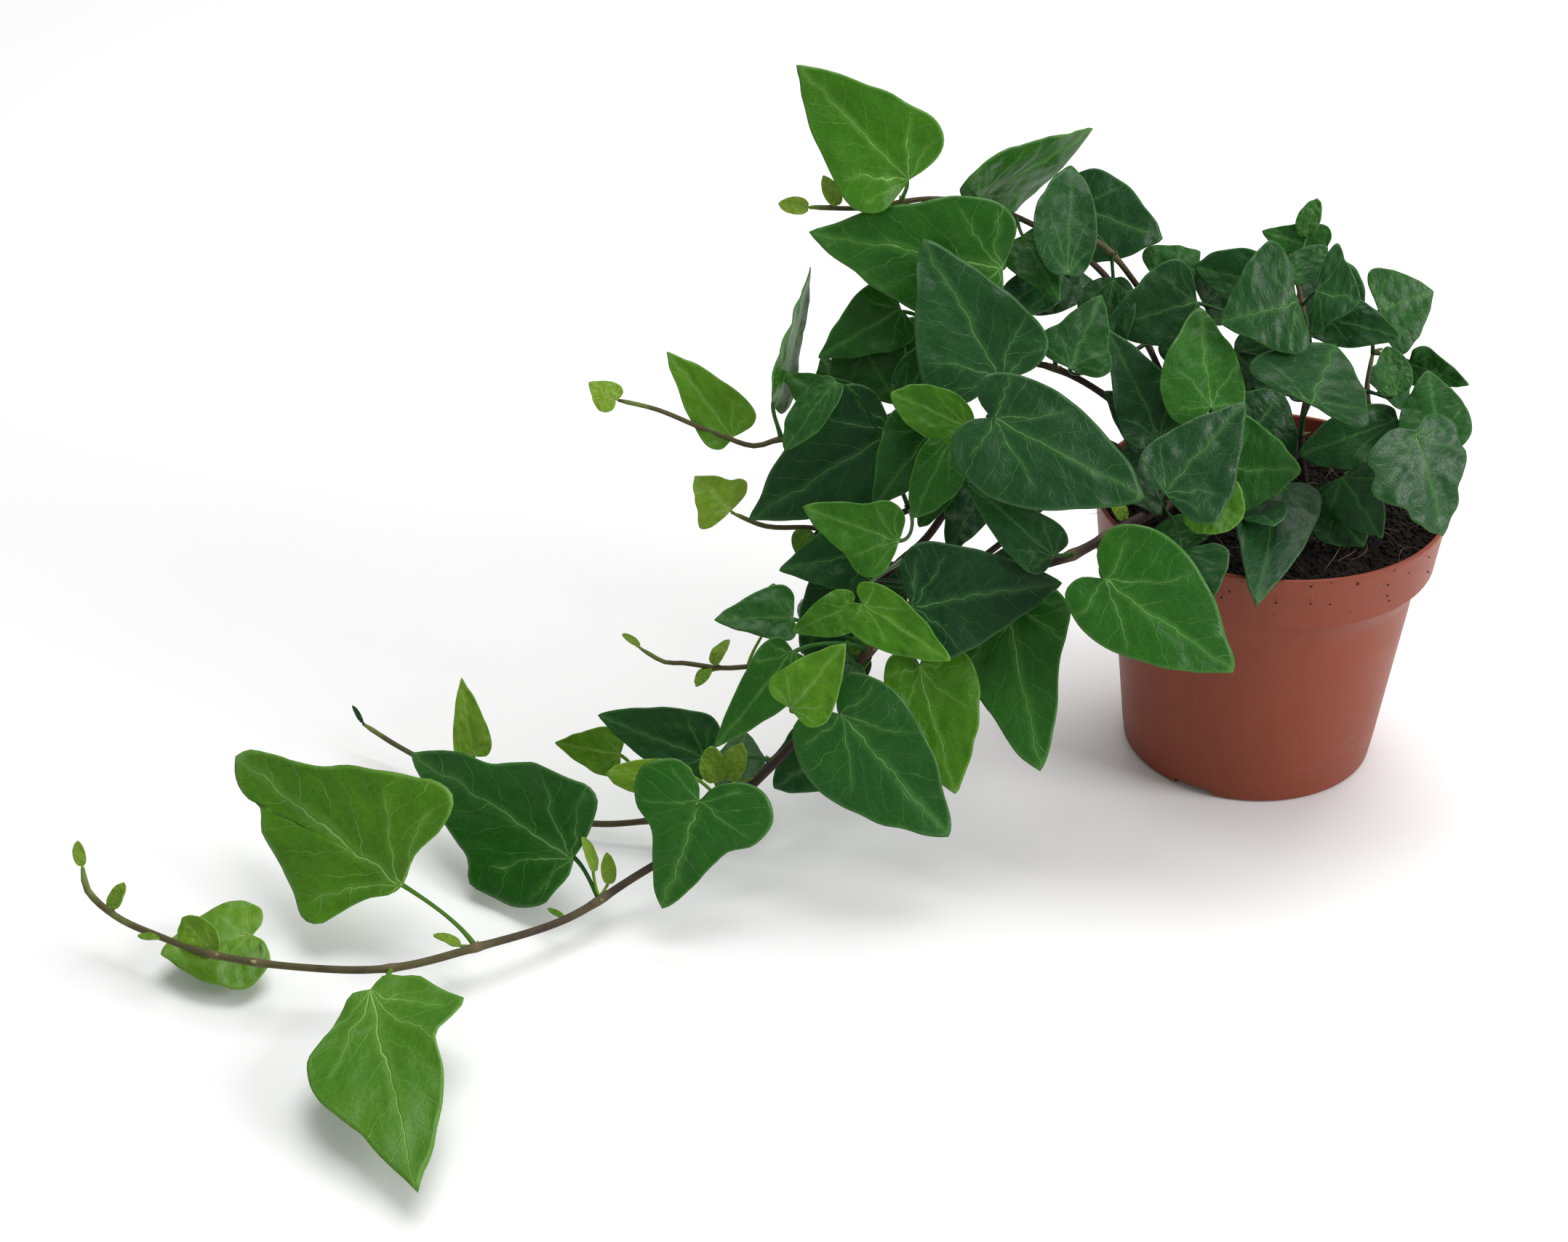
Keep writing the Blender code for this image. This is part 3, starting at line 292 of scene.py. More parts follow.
# Small growth along the stems: name, stem, share of the stem's length, angles, length of the stalk in
# centimetres, then size, outline and tone
SHOOTS = (
    ("crown_bud", "crown_shoot", 1.0, (175, 5, -50), 0.1, (1.0, 0.6), "oval", 0.95),
    ("crown_leaflet", "crown_shoot", 0.96, (130, 50, -30), 0.1, (1.1, 0.6), "oval", 0.95),
    ("curled_bud", "upper_shoot", 1.0, (165, 30, -40), 0.1, (1.0, 1.1), "heart", 0.95),
    ("pale_over", "upper_shoot", 0.82, (150, 45, -45), 0.2, (3.6, 2.0), "arrow", 0.72),
    ("lime_lobes", "middle_shoot", 1.0, (150, 35, -40), 0.1, (1.7, 2.2), "lobed", 0.92),
    ("lime_drop", "middle_shoot", 0.86, (-100, -30, 0), 0.1, (1.0, 0.8), "oval", 0.80),
    ("lower_bud", "lower_shoot", 1.0, (160, 40, 0), 0.1, (0.7, 0.35), "oval", 0.95),
    ("lower_leaflet", "lower_shoot", 0.89, (40, 50, 0), 0.1, (1.0, 0.55), "oval", 0.95),
    ("lower_second", "lower_shoot", 0.89, (-130, -20, 0), 0.1, (0.8, 0.5), "oval", 0.85),
    ("dry_curl", "ground_trailer", 1.0, (150, 60, 0), 0.1, (0.7, 0.2), "oval", 0.05),
    ("end_bud", "long_trailer", 1.0, (110, 60, 0), 0.1, (0.8, 0.4), "oval", 0.95),
    ("end_leaflet", "long_trailer", 0.97, (50, 45, 0), 0.1, (0.9, 0.6), "oval", 0.90),
    ("end_second", "long_trailer", 0.92, (175, 10, 0), 0.2, (0.7, 0.4), "oval", 0.85),
    ("joint_tall", "long_trailer", 0.585, (100, 60, 0), 0.3, (1.0, 0.5), "oval", 0.92),
    ("joint_second", "long_trailer", 0.59, (125, 60, 30), 0.9, (1.2, 0.6), "oval", 0.92),
    ("joint_bract", "long_trailer", 0.622, (150, 20, 0), 0.1, (0.6, 0.25), "oval", 0.75),
    ("joint_axil", "long_trailer", 0.70, (160, 20, 0), 0.3, (0.9, 0.4), "oval", 0.92),
    ("lime_pair", "long_trailer", 0.50, (65, 50, 0), 1.3, (1.3, 0.9), "oval", 0.92),
    ("lime_partner", "long_trailer", 0.50, (100, 60, 0), 1.2, (1.2, 0.9), "oval", 0.88),
    ("lime_high", "lower_shoot", 0.80, (80, 60, 0), 1.6, (1.2, 0.9), "oval", 0.90),
    ("lime_behind", "long_trailer", 0.36, (50, 40, 20), 0.5, (1.3, 1.1), "oval", 0.70),
    ("lime_first", "long_trailer", 0.12, (140, 50, 0), 0.2, (0.8, 0.6), "oval", 0.92),
    ("lime_under", "long_trailer", 0.13, (-140, -30, 0), 0.2, (0.9, 0.7), "oval", 0.90),
    ("r_pale_oval", "back_stem", 0.97, (60, 55, 0), 1.2, (1.4, 0.8), "oval", 0.45),
    ("r_top_left", "back_stem", 0.90, (175, 10, -60), 0.8, (2.8, 1.7), "oval", 0.15),
    ("r_top_right", "back_stem", 0.80, (-30, 0, 50), 0.8, (2.6, 1.8), "heart", 0.12),
    ("r_fill_front", "front_stem", 0.90, (140, 20, -50), 1.4, (3.2, 2.2), "arrow", 0.10),
    ("r_fill_right", "right_stem", 0.70, (60, 10, 40), 1.0, (2.4, 1.8), "arrow", 0.15),
    ("r_fill_soil", "front_stem", 0.50, (-80, 20, 10), 1.6, (2.2, 1.6), "oval", 0.08),
    ("r_fill_edge", "right_stem", 0.30, (-110, 10, 20), 1.2, (2.0, 1.5), "heart", 0.10),
    ("fill_upper", "upper_shoot", 0.66, (110, 40, -20), 0.8, (2.2, 1.6), "heart", 0.40),
    ("fill_upper_high", "upper_shoot", 0.60, (60, 50, 10), 1.2, (2.6, 1.7), "oval", 0.35),
    ("fill_crown", "crown_shoot", 0.66, (-60, -30, 30), 1.0, (2.6, 1.8), "arrow", 0.30),
    ("fill_crown_low", "crown_shoot", 0.50, (-150, -10, -40), 1.2, (2.8, 1.6), "oval", 0.12),
    ("fill_arch", "arching_stem", 0.55, (-40, -30, 40), 1.0, (3.0, 2.0), "arrow", 0.08),
    ("fill_arch_low", "arching_stem", 0.70, (-100, -40, 10), 0.8, (3.0, 2.0), "oval", 0.10),
    ("fill_soil", "ground_trailer", 0.14, (-60, -10, 30), 0.8, (2.8, 1.8), "arrow", 0.05),
    ("fill_low", "long_trailer", 0.33, (-150, -20, -30), 0.6, (2.4, 1.6), "arrow", 0.15),
    ("fill_low_back", "lower_shoot", 0.50, (170, 10, -50), 0.8, (2.6, 1.8), "arrow", 0.10),
    ("fill_rim", "long_trailer", 0.17, (150, -20, -40), 0.8, (2.6, 1.9), "arrow", 0.10),
    ("fill_rim_low", "ground_trailer", 0.24, (-120, -30, -20), 1.0, (2.8, 1.8), "arrow", 0.08),
    ("fill_left", "upper_shoot", 0.62, (170, 30, -50), 0.8, (2.6, 2.0), "arrow", 0.38),
    ("fill_left_low", "middle_shoot", 0.70, (-170, -20, -50), 0.6, (2.8, 2.0), "arrow", 0.15),
    ("fill_middle", "lower_shoot", 0.62, (-160, -30, -40), 0.6, (2.6, 2.2), "heart", 0.12),
    ("back_crown", "crown_shoot", 0.35, (120, 10, 30), 1.0, (3.0, 2.2), "heart", 0.12),
    ("back_arch", "arching_stem", 0.45, (80, -10, -20), 0.6, (2.6, 2.4), "arrow", 0.15),
    ("back_upper", "upper_shoot", 0.35, (110, -20, 20), 1.2, (3.0, 2.2), "heart", 0.18),
    ("back_low", "back_stem", 0.45, (100, -5, 0), 1.2, (2.8, 2.2), "arrow", 0.12),
    ("back_high", "back_stem", 0.65, (60, -25, 20), 1.0, (2.6, 2.0), "heart", 0.15),
    ("back_right", "right_stem", 0.50, (70, -15, -10), 1.4, (2.6, 2.0), "arrow", 0.12),
    ("back_middle", "middle_shoot", 0.45, (115, -25, 20), 1.0, (2.8, 2.0), "arrow", 0.20),
    ("back_lower", "lower_shoot", 0.45, (100, -15, 0), 1.2, (2.8, 2.1), "heart", 0.20),
    ("back_trailer", "ground_trailer", 0.45, (110, 0, 20), 1.2, (3.0, 2.2), "arrow", 0.20),
    ("back_ground", "ground_trailer", 0.62, (80, 10, 0), 1.0, (2.6, 1.8), "heart", 0.30),
)


class Wire:
    """A node's output. Sums written with it become Math nodes."""

    def __init__(self, nodes, socket):
        self.nodes = nodes
        self.socket = socket

    def math(self, operation, *values):
        return self.nodes.node("ShaderNodeMath", {"operation": operation}, (self, *values))

    def __add__(self, other):
        return self.math("ADD", other)

    def __sub__(self, other):
        return self.math("SUBTRACT", other)

    def __rsub__(self, other):
        return self.nodes.node("ShaderNodeMath", {"operation": "SUBTRACT"}, (other, self))

    def __mul__(self, other):
        return self.math("MULTIPLY", other)

    def __truediv__(self, other):
        return self.math("DIVIDE", other)

    def __abs__(self):
        return self.math("ABSOLUTE")

    __radd__ = __add__
    __rmul__ = __mul__

    def either(self, other):
        return self.math("MAXIMUM", other)

    def rise(self, low, high):
        """0 up to low, 1 from high on, smooth in between; a low above high turns it round."""
        limits = {"Value": self, "From Min": low, "From Max": high}
        return self.nodes.node("ShaderNodeMapRange", {"interpolation_type": "SMOOTHSTEP"}, limits)

    def part(self, index):
        return self.nodes.node("ShaderNodeSeparateXYZ", None, (self,), index)


class Nodes:
    """A node tree that is built one node at a time."""

    def __init__(self, tree):
        self.tree = tree

    def node(self, kind, settings=None, inputs=None, output=0):
        made = self.tree.nodes.new(kind)
        for key, value in (settings or {}).items():
            if key == "stops":
                self.set_stops(made.color_ramp, value)
            else:
                setattr(made, key, value)
        pairs = inputs.items() if isinstance(inputs, dict) else enumerate(inputs or ())
        for key, value in pairs:
            if isinstance(value, Wire):
                self.tree.links.new(value.socket, made.inputs[key])
            elif value is not None:
                made.inputs[key].default_value = value
        return Wire(self, made.outputs[output]) if made.outputs else None

    @staticmethod
    def set_stops(ramp, stops):
        while len(ramp.elements) < len(stops):
            ramp.elements.new(1)
        for element, (place, colour) in zip(ramp.elements, stops):
            element.position = place
            element.color = (*colour, 1)


class Finish(Nodes):
    """A material under construction."""

    def __init__(self, name):
        self.material = bpy.data.materials.new(name)
        self.material.use_nodes = True
        super().__init__(self.material.node_tree)
        self.tree.nodes.clear()

    def place(self):
        return self.node("ShaderNodeTexCoord", None, None, "Object")

    def uv(self, name):
        return self.node("ShaderNodeUVMap", {"uv_map": name})

    def value_of(self, name):
        return self.node("ShaderNodeAttribute", {"attribute_name": name}, None, 2)

    def vector(self, x, y, z):
        return self.node("ShaderNodeCombineXYZ", None, (x, y, z))

    def stretched(self, vector, scale):
        return self.node("ShaderNodeVectorMath", {"operation": "MULTIPLY"}, (vector, scale))

    def cloud(self, vector, scale, detail=3.0, rough=0.55):
        inputs = {"Vector": vector, "Scale": scale, "Detail": detail, "Roughness": rough}
        return self.node("ShaderNodeTexNoise", None, inputs)

    def cells(self, vector, scale, feature="F1"):
        return self.node("ShaderNodeTexVoronoi", {"feature": feature}, {"Vector": vector, "Scale": scale})

    def mix(self, share, a, b):
        """A share of colour b in colour a. A Mix node's colour sockets only have numbers of their own."""
        return self.node("ShaderNodeMix", {"data_type": "RGBA"}, {0: share, 6: a, 7: b}, 2)

    def ramp(self, value, stops):
        return self.node("ShaderNodeValToRGB", {"stops": stops}, (value,))

    def bump(self, height, distance):
        return self.node("ShaderNodeBump", None, {"Height": height, "Distance": distance})

    def surface(self, looks):
        shader = self.node("ShaderNodeBsdfPrincipled", None, looks)
        self.node("ShaderNodeOutputMaterial", None, (shader,))
        return self.material


def rgb(red, green, blue):
    """A solid colour."""
    return (red, green, blue, 1)


# --- materials ---------------------------------------------------------------------------------

# Where the side veins of each outline end: share of the half width, share of the length, and their bow
SIDE_VEINS = {
    "heart": ((0.80, 0.42, 0.10), (0.80, -0.02, 0.10)),
    "winged": ((0.86, 0.16, 0.06), (0.55, -0.22, 0.05)),
    "arrow": ((0.86, 0.30, 0.08), (0.88, 0.08, 0.05)),
    "lobed": ((0.80, 0.40, 0.10), (0.92, 0.16, 0.06)),
    "oval": ((0.72, 0.56, 0.10), (0.80, 0.24, 0.08)),
    "ruffled": ((0.88, 0.36, 0.08), (0.84, 0.08, 0.06)),
    "broad": ((0.86, 0.30, 0.10), (1.06, 0.06, 0.05)),
    "shield": ((0.84, 0.34, 0.09), (0.92, 0.08, 0.06)),
    "kite": ((0.72, 0.44, 0.09), (0.84, 0.22, 0.05)),
}
# Half a blade's width as a share of its length, and the spacing of branch veins in the same measure
HALF_WIDTH = 0.42
TWIG_SPACING = 0.15
RIB_SPACING = 0.19
BRANCH_VEIN = (0.0040, 0.0014)


def evenly(line, spacing, shift):
    """The distance to the nearest of many evenly spaced lines."""
    return abs((line / spacing + shift).math("FRACT") - 0.5) * spacing


def vein_masks(finish, kind, across, along):
    """Main veins, their branches, and the fine net between them, each from 0 to 1."""
    side = abs(across) * HALF_WIDTH
    ahead = along.rise(-0.02, 0.03)
    width = 0.0078 - along * 0.0052
    main = (side / width).rise(1.1, 0.4) * ahead
    glow = side.rise(0.05, 0.0) * ahead
    above = None
    branches = None
    for number, (x, y, bow) in enumerate(SIDE_VEINS[kind]):
        reach = math.hypot(x * HALF_WIDTH, y)
        dx, dy = x * HALF_WIDTH / reach, y / reach
        run = side * dx + along * dy
        sway = (run / reach) * (1 - run / reach) * bow
        off = along * dx - side * dy - sway
        thick = 0.0052 - run * (0.0034 / reach)
        inside = run.rise(0.0, 0.02) * run.rise(reach * 1.02, reach * 0.80)
        main = main.either((abs(off) / thick).rise(1.3, 0.5) * inside * (0.85 - 0.2 * number))
        glow = glow.either(abs(off).rise(0.035, 0.0) * inside * 0.7)
        if above is None:
            above = off.rise(0.0, 0.01)
            twig = evenly(run + off * 0.8, TWIG_SPACING, across.math("GREATER_THAN", 0) * 0.5)
            branches = twig.rise(*BRANCH_VEIN) * off.rise(0.0, -0.01) * run.rise(0.05, 0.12)
    curved = along - side * 0.7 - side * side * 1.9
    rib = evenly(curved, RIB_SPACING, across.math("GREATER_THAN", 0) * 0.45)
    fade = side.rise(0.36, 0.10) * 0.8 + 0.2
    branches = branches.either(rib.rise(*BRANCH_VEIN) * above * fade * along.rise(0.05, 0.16))
    net = finish.cells(finish.vector(side, along, finish.value_of("seed")), 17, "DISTANCE_TO_EDGE")
    return main, branches, net.rise(0.09, 0.0), glow


# Colours by age, from the oldest leaf to the youngest
LEAF_GREENS = (
    (0.00, (0.0050, 0.040, 0.0090)), (0.15, (0.0080, 0.062, 0.0100)), (0.40, (0.0150, 0.105, 0.0050)),
    (0.60, (0.0420, 0.168, 0.0025)), (0.80, (0.0950, 0.240, 0.0030)), (1.00, (0.2200, 0.360, 0.0200)),
)
VEIN_GREENS = (
    (0.00, (0.080, 0.220, 0.060)), (0.30, (0.110, 0.300, 0.060)), (0.60, (0.200, 0.440, 0.080)),
    (1.00, (0.380, 0.560, 0.140)),
)
BUD_COLOURS = ((0.30, (0.23, 0.30, 0.07)), (0.50, (0.28, 0.24, 0.10)), (0.70, (0.13, 0.075, 0.045)))
SOIL_BROWNS = ((0.30, (0.003, 0.002, 0.002)), (0.55, (0.012, 0.008, 0.006)), (0.75, (0.036, 0.022, 0.014)))


def leaf_finish(kind, back):
    """Waxy leaf skin: tone by age, pale veins, clouded green and quilted relief."""
    finish = Finish(f"{kind}_leaf_{'back' if back else 'face'}")
    spot = finish.uv("blade")
    seed = finish.value_of("seed")
    tone = finish.value_of("tone")
    field = finish.vector(spot.part(0) * HALF_WIDTH, spot.part(1), seed)
    drift = finish.cloud(field, 5.5, 2.0)
    sway = finish.cloud(finish.vector(spot.part(1), spot.part(0) * HALF_WIDTH, seed + 4.0), 6.5, 2.0)
    across = spot.part(0) + (drift - 0.5) * 0.22
    along = spot.part(1) + (sway - 0.5) * 0.11
    main, branches, net, glow = vein_masks(finish, kind, across, along)
    cloud = finish.cloud(field, 3.2, 4.0, 0.6)
    grain = finish.cloud(field, 60, 3.0, 0.7)
    green = finish.ramp(tone + (cloud - 0.5) * 0.22, LEAF_GREENS)
    green = finish.mix(grain.rise(0.35, 0.75) * 0.25, green, rgb(0.006, 0.03, 0.006))
    green = finish.mix(glow * 0.20 + net * 0.05, green, finish.ramp(tone, VEIN_GREENS))
    rim = (1 - finish.value_of("inward")).rise(0.93, 1.0)
    green = finish.mix(rim * 0.25, green, finish.ramp(tone, VEIN_GREENS))
    scar = finish.cells(field, 9).rise(0.05, 0.02) * finish.cloud(field, 2.3).rise(0.62, 0.68)
    green = finish.mix(scar * 0.5, green, rgb(0.10, 0.07, 0.02))
    if back:
        green = finish.mix(0.55, green, rgb(0.12, 0.22, 0.075))
        veins = main.either(branches * 0.6)
        colour = finish.mix(veins * 0.6, green, rgb(0.24, 0.34, 0.14))
        relief = veins * 0.5 + net * 0.2 + grain * 0.12
        rough = 0.55 + grain * 0.15
        bump = finish.bump(relief, 0.5 * MM)
        return finish.surface({"Base Color": colour, "Roughness": rough, "Normal": bump,
                               "Specular IOR Level": 0.18, "IOR": 1.45})
    veins = main.either(branches * 0.55)
    colour = finish.mix(veins * 0.85, green, finish.ramp(tone, VEIN_GREENS))
    puckers = finish.cells(field, 8.5, "SMOOTH_F1")
    relief = puckers * 0.55 + cloud * 0.5 - main * 0.30 - branches * 0.16 - net * 0.03 + grain * 0.03
    rough = 0.24 + cloud * 0.16 + veins * 0.1 + grain * 0.08
    bump = finish.bump(relief, 1.1 * MM)
    return finish.surface({"Base Color": colour, "Roughness": rough, "Normal": bump,
                           "Specular IOR Level": 0.28, "IOR": 1.45})


def stalk_finish():
    """Leaf stalks: pale green, flushed brown towards the stem."""
    finish = Finish("leaf_stalk")
    spot = finish.uv("blade")
    streak = finish.cloud(finish.vector(spot.part(0) * 4, spot.part(1) * 0.4, finish.value_of("seed")), 6)
    age = finish.value_of("inward")
    tone = finish.value_of("tone")
    fresh = finish.mix(tone, rgb(0.110, 0.120, 0.045), rgb(0.24, 0.25, 0.070))
    worn = finish.mix(streak, rgb(0.115, 0.080, 0.050), rgb(0.060, 0.040, 0.028))
    colour = finish.mix((age + (streak - 0.5) * 0.3).rise(0.35, 0.9) * 0.8, fresh, worn)
    bump = finish.bump(streak, 0.2 * MM)
    return finish.surface({"Base Color": colour, "Roughness": 0.42 + streak * 0.2, "Normal": bump})


def bark_finish():
    """Ivy stem: purple-brown, streaked along its length, greener and paler towards the young end."""
    finish = Finish("ivy_bark")
    spot = finish.uv("blade")
    age = finish.value_of("tone")
    seed = finish.value_of("seed")
    streak = finish.cloud(finish.vector(spot.part(0) * 5, spot.part(1) * 60, seed), 3, 4.0, 0.6)
    patch = finish.cloud(finish.place(), 90, 3.0)
    knots = finish.value_of("inward")
    pores = finish.cells(finish.vector(spot.part(0) * 6, spot.part(1) * 330, seed), 1.2).rise(0.2, 0.08)
    brown = finish.mix(streak, rgb(0.070, 0.040, 0.034), rgb(0.022, 0.013, 0.011))
    olive = finish.mix(streak, rgb(0.120, 0.110, 0.040), rgb(0.055, 0.045, 0.022))
    green = finish.mix(streak, rgb(0.200, 0.270, 0.060), rgb(0.110, 0.150, 0.035))
    colour = finish.mix((age + (patch - 0.5) * 0.7).rise(0.45, 0.85), brown, olive)
    colour = finish.mix((age + (patch - 0.5) * 0.3).rise(0.93, 1.02), colour, green)
    colour = finish.mix(pores * 0.5, colour, rgb(0.17, 0.12, 0.08))
    colour = finish.mix(knots * 0.75, colour, rgb(0.155, 0.125, 0.060))
    relief = streak * 0.6 + pores * 0.4 + patch * 0.3
    return finish.surface({"Base Color": colour, "Roughness": 0.45 + streak * 0.25,
                           "Specular IOR Level": 0.2, "Normal": finish.bump(relief, 0.35 * MM)})


def bud_finish():
    """Node buds and bracts: dry tan scales round a green middle."""
    finish = Finish("node_bud")
    place = finish.place()
    patch = finish.cloud(place, 260, 3.0)
    streak = finish.cloud(finish.stretched(place, (1.0, 1.0, 0.3)), 900, 2.0)
    colour = finish.ramp(patch, BUD_COLOURS)
    return finish.surface({"Base Color": colour, "Roughness": 0.45 + streak * 0.3,
                           "Normal": finish.bump(streak, 0.2 * MM)})


def pot_finish():
    """Terracotta-coloured plastic: satin, faintly mottled, handled and splashed with soil."""
    finish = Finish("terracotta_plastic")
    place = finish.place()
    height = place.part(2)
    mottle = finish.cloud(place, 26, 4.0, 0.6)
    grain = finish.cloud(place, 900, 2.0, 0.6)
    wipes = finish.cloud(finish.stretched(place, (1.0, 1.0, 0.14)), 130, 3.0, 0.65)
    turning = finish.cloud(finish.stretched(place, (0.05, 0.05, 1.0)), 700, 2.0)
    dust = finish.cloud(place, 55, 5.0, 0.7).rise(0.50, 0.75)
    dirty = height.rise(0.074, 0.092) * 0.85 + 0.05
    splash = finish.cells(place, 210).rise(0.24, 0.12) * finish.cloud(place, 85, 2.0).rise(0.60, 0.66)
    specks = finish.cells(place, 480).rise(0.16, 0.08) * finish.cloud(place, 110, 2.0).rise(0.62, 0.68)
    scuff = finish.cloud(finish.stretched(place, (0.4, 0.4, 1.6)), 260, 4.0, 0.7).rise(0.55, 0.70)
    scuffed = finish.cloud(place, 17, 1.0).rise(0.58, 0.66) * scuff
    clay = finish.mix(mottle, rgb(0.240, 0.053, 0.027), rgb(0.195, 0.041, 0.020))
    clay = finish.mix(wipes * 0.15, clay, rgb(0.33, 0.11, 0.065))
    clay = finish.mix(dust * 0.08 + scuffed * 0.2, clay, rgb(0.38, 0.18, 0.12))
    clay = finish.mix(scuffed * 0.35, clay, rgb(0.11, 0.045, 0.035))
    soiled = splash.either(specks) * dirty
    clay = finish.mix(soiled, clay, rgb(0.030, 0.016, 0.010))
    rough = 0.40 + mottle * 0.08 + dust * 0.12 + soiled * 0.3 - scuffed * 0.05
    relief = grain * 0.25 + turning * 0.15 + splash * dirty * 2.0 + wipes * 0.2
    return finish.surface({"Base Color": clay, "Roughness": rough, "Specular IOR Level": 0.2,
                           "Normal": finish.bump(relief, 0.12 * MM)})


def soil_finish():
    """Potting mix: nearly black peat with brown and tan bits."""
    finish = Finish("potting_soil")
    place = finish.place()
    lump = finish.cloud(place, 190, 6.0, 0.72)
    bits = finish.cells(place, 620)
    bark = finish.cells(place, 330).rise(0.22, 0.10) * finish.cloud(place, 140).rise(0.55, 0.62)
    peat = finish.ramp(lump, SOIL_BROWNS)
    peat = finish.mix(bark * 0.7, peat, rgb(0.095, 0.055, 0.030))
    relief = lump + (1 - bits) * 0.25
    return finish.surface({"Base Color": peat, "Roughness": 0.78 + lump * 0.2, "Specular IOR Level": 0.25,
                           "Normal": finish.bump(relief, 1.6 * MM)})


def fibre_finish():
    """Coir fibre: tan, darker in places."""
    finish = Finish("coir_fibre")
    patch = finish.cloud(finish.place(), 240, 3.0)
    colour = finish.mix(patch, rgb(0.36, 0.23, 0.13), rgb(0.10, 0.055, 0.030))
    return finish.surface({"Base Color": colour, "Roughness": 0.6 + patch * 0.2})


def table_finish():
    """A plain pale table top."""
    finish = Finish("pale_table")
    patch = finish.cloud(finish.place(), 3.0, 3.0)
    colour = finish.mix(patch, rgb(0.93, 0.93, 0.93), rgb(0.91, 0.91, 0.91))
    rough = 0.65 + patch * 0.05
    return finish.surface({"Base Color": colour, "Roughness": rough, "Specular IOR Level": 0.2})


# --- pieces ------------------------------------------------------------------------------------

def new_piece(name, mesh, materials, nodes=()):
    """A finished piece of the object, on its body, in place of its CAD nodes."""
    piece = bpy.data.objects.new(name, mesh)
    bpy.context.scene.collection.objects.link(piece)
    for material in materials:
        mesh.materials.append(material)
    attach(piece, "root")
    if nodes:
        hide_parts(*nodes)


def plain_mesh(thing, name):
    """The evaluated mesh of an object, which is then removed."""
    mesh = bpy.data.meshes.new_from_object(thing.evaluated_get(bpy.context.evaluated_depsgraph_get()))
    mesh.name = name
    bpy.data.objects.remove(thing, do_unlink=True)
    return mesh


def helper(name, mesh):
    """An object that a modifier works on. It doesn't stay in the scene."""
    thing = bpy.data.objects.new(name, mesh)
    bpy.context.scene.collection.objects.link(thing)
    return thing


def bezier(a, b, c, d, t):
    """The place at t, from 0 to 1, on a Bezier curve from a to d."""
    s = 1 - t
    return a * s**3 + b * (3 * s * s * t) + c * (3 * s * t * t) + d * t**3


def smooth_route(points, step):
    """Places about a step apart along a smooth curve through the points."""
    places = []
    ends = [points[0]] + list(points) + [points[-1]]
    for a, b, c, d in zip(ends, ends[1:], ends[2:], ends[3:]):
        handle = (c - b).length / 3
        leave = (c - a).normalized() * handle
        arrive = (d - b).normalized() * handle
        pieces = max(1, round((c - b).length / step))
        for i in range(pieces):
            t = i / pieces
            places.append(bezier(b, b + leave, c - arrive, c, t))
    places.append(points[-1])
    return places


def even(places, count):
    """The same line as count equal stretches."""
    walked = [0]
    for a, b in zip(places, places[1:]):
        walked.append(walked[-1] + (b - a).length)
    found = []
    at = 0
    for i in range(count + 1):
        goal = walked[-1] * i / count
        while at < len(places) - 2 and walked[at + 1] < goal:
            at += 1
        stretch = max(walked[at + 1] - walked[at], 1e-9)
        found.append(places[at].lerp(places[at + 1], min(1, (goal - walked[at]) / stretch)))
    return found


def stem_route(name, step=STEM_STEP):
    """The smooth route of a stem."""
    _, _, route = STEMS[name]
    return smooth_route([Vector(point) * CM for point in route], step)


class Form:
    """A mesh under construction, with the blade map and the values that the materials read."""

    def __init__(self):
        self.points = []
        self.faces = []
        self.maps = []
        self.values = []
        self.materials = []

    def point(self, place, spot, values):
        self.points.append(place)
        self.maps.append(spot)
        self.values.append(values)
        return len(self.points) - 1

    def face(self, corners, material=0):
        self.faces.append(corners)
        self.materials.append(material)

    def mesh(self, name):
        mesh = bpy.data.meshes.new(name)
        mesh.from_pydata(self.points, [], self.faces)
        layer = mesh.uv_layers.new(name="blade")
        for loop in mesh.loops:
            layer.data[loop.index].uv = self.maps[loop.vertex_index]
        for number, value in enumerate(("tone", "seed", "inward")):
            attribute = mesh.attributes.new(value, "FLOAT", "POINT")
            attribute.data.foreach_set("value", [values[number] for values in self.values])
        mesh.polygons.foreach_set("material_index", self.materials)
        mesh.shade_smooth()
        return mesh

    def bar(self, route, radii, sides, values, material=0):
        """A closed round bar along the route. values gives the material values at each place."""
        ahead = (route[1] - route[0]).normalized()
        out = ahead.orthogonal().normalized()
        walked = 0
        rings = []
        for i, place in enumerate(route):
            before = route[max(i - 1, 0)]
            after = route[min(i + 1, len(route) - 1)]
            ahead = (after - before).normalized()
            out = (out - ahead * out.dot(ahead)).normalized()
            side = ahead.cross(out)
            walked += (place - before).length
            ring = []
            for k in range(sides):
                turn = 2 * math.pi * k / sides
                skin = place + (out * math.cos(turn) + side * math.sin(turn)) * radii[i]
                ring.append(self.point(skin, (abs(2 * k / sides - 1), walked), values[i]))
            rings.append(ring)
        for low, high in zip(rings, rings[1:]):
            for k in range(sides):
                m = (k + 1) % sides
                self.face((low[k], low[m], high[m], high[k]), material)
        foot = self.point(route[0], (0, 0), values[0])
        head = self.point(route[-1], (0, walked), values[-1])
        for k in range(sides):
            m = (k + 1) % sides
            self.face((foot, rings[0][m], rings[0][k]), material)
            self.face((head, rings[-1][k], rings[-1][m]), material)


# --- leaves ------------------------------------------------------------------------------------

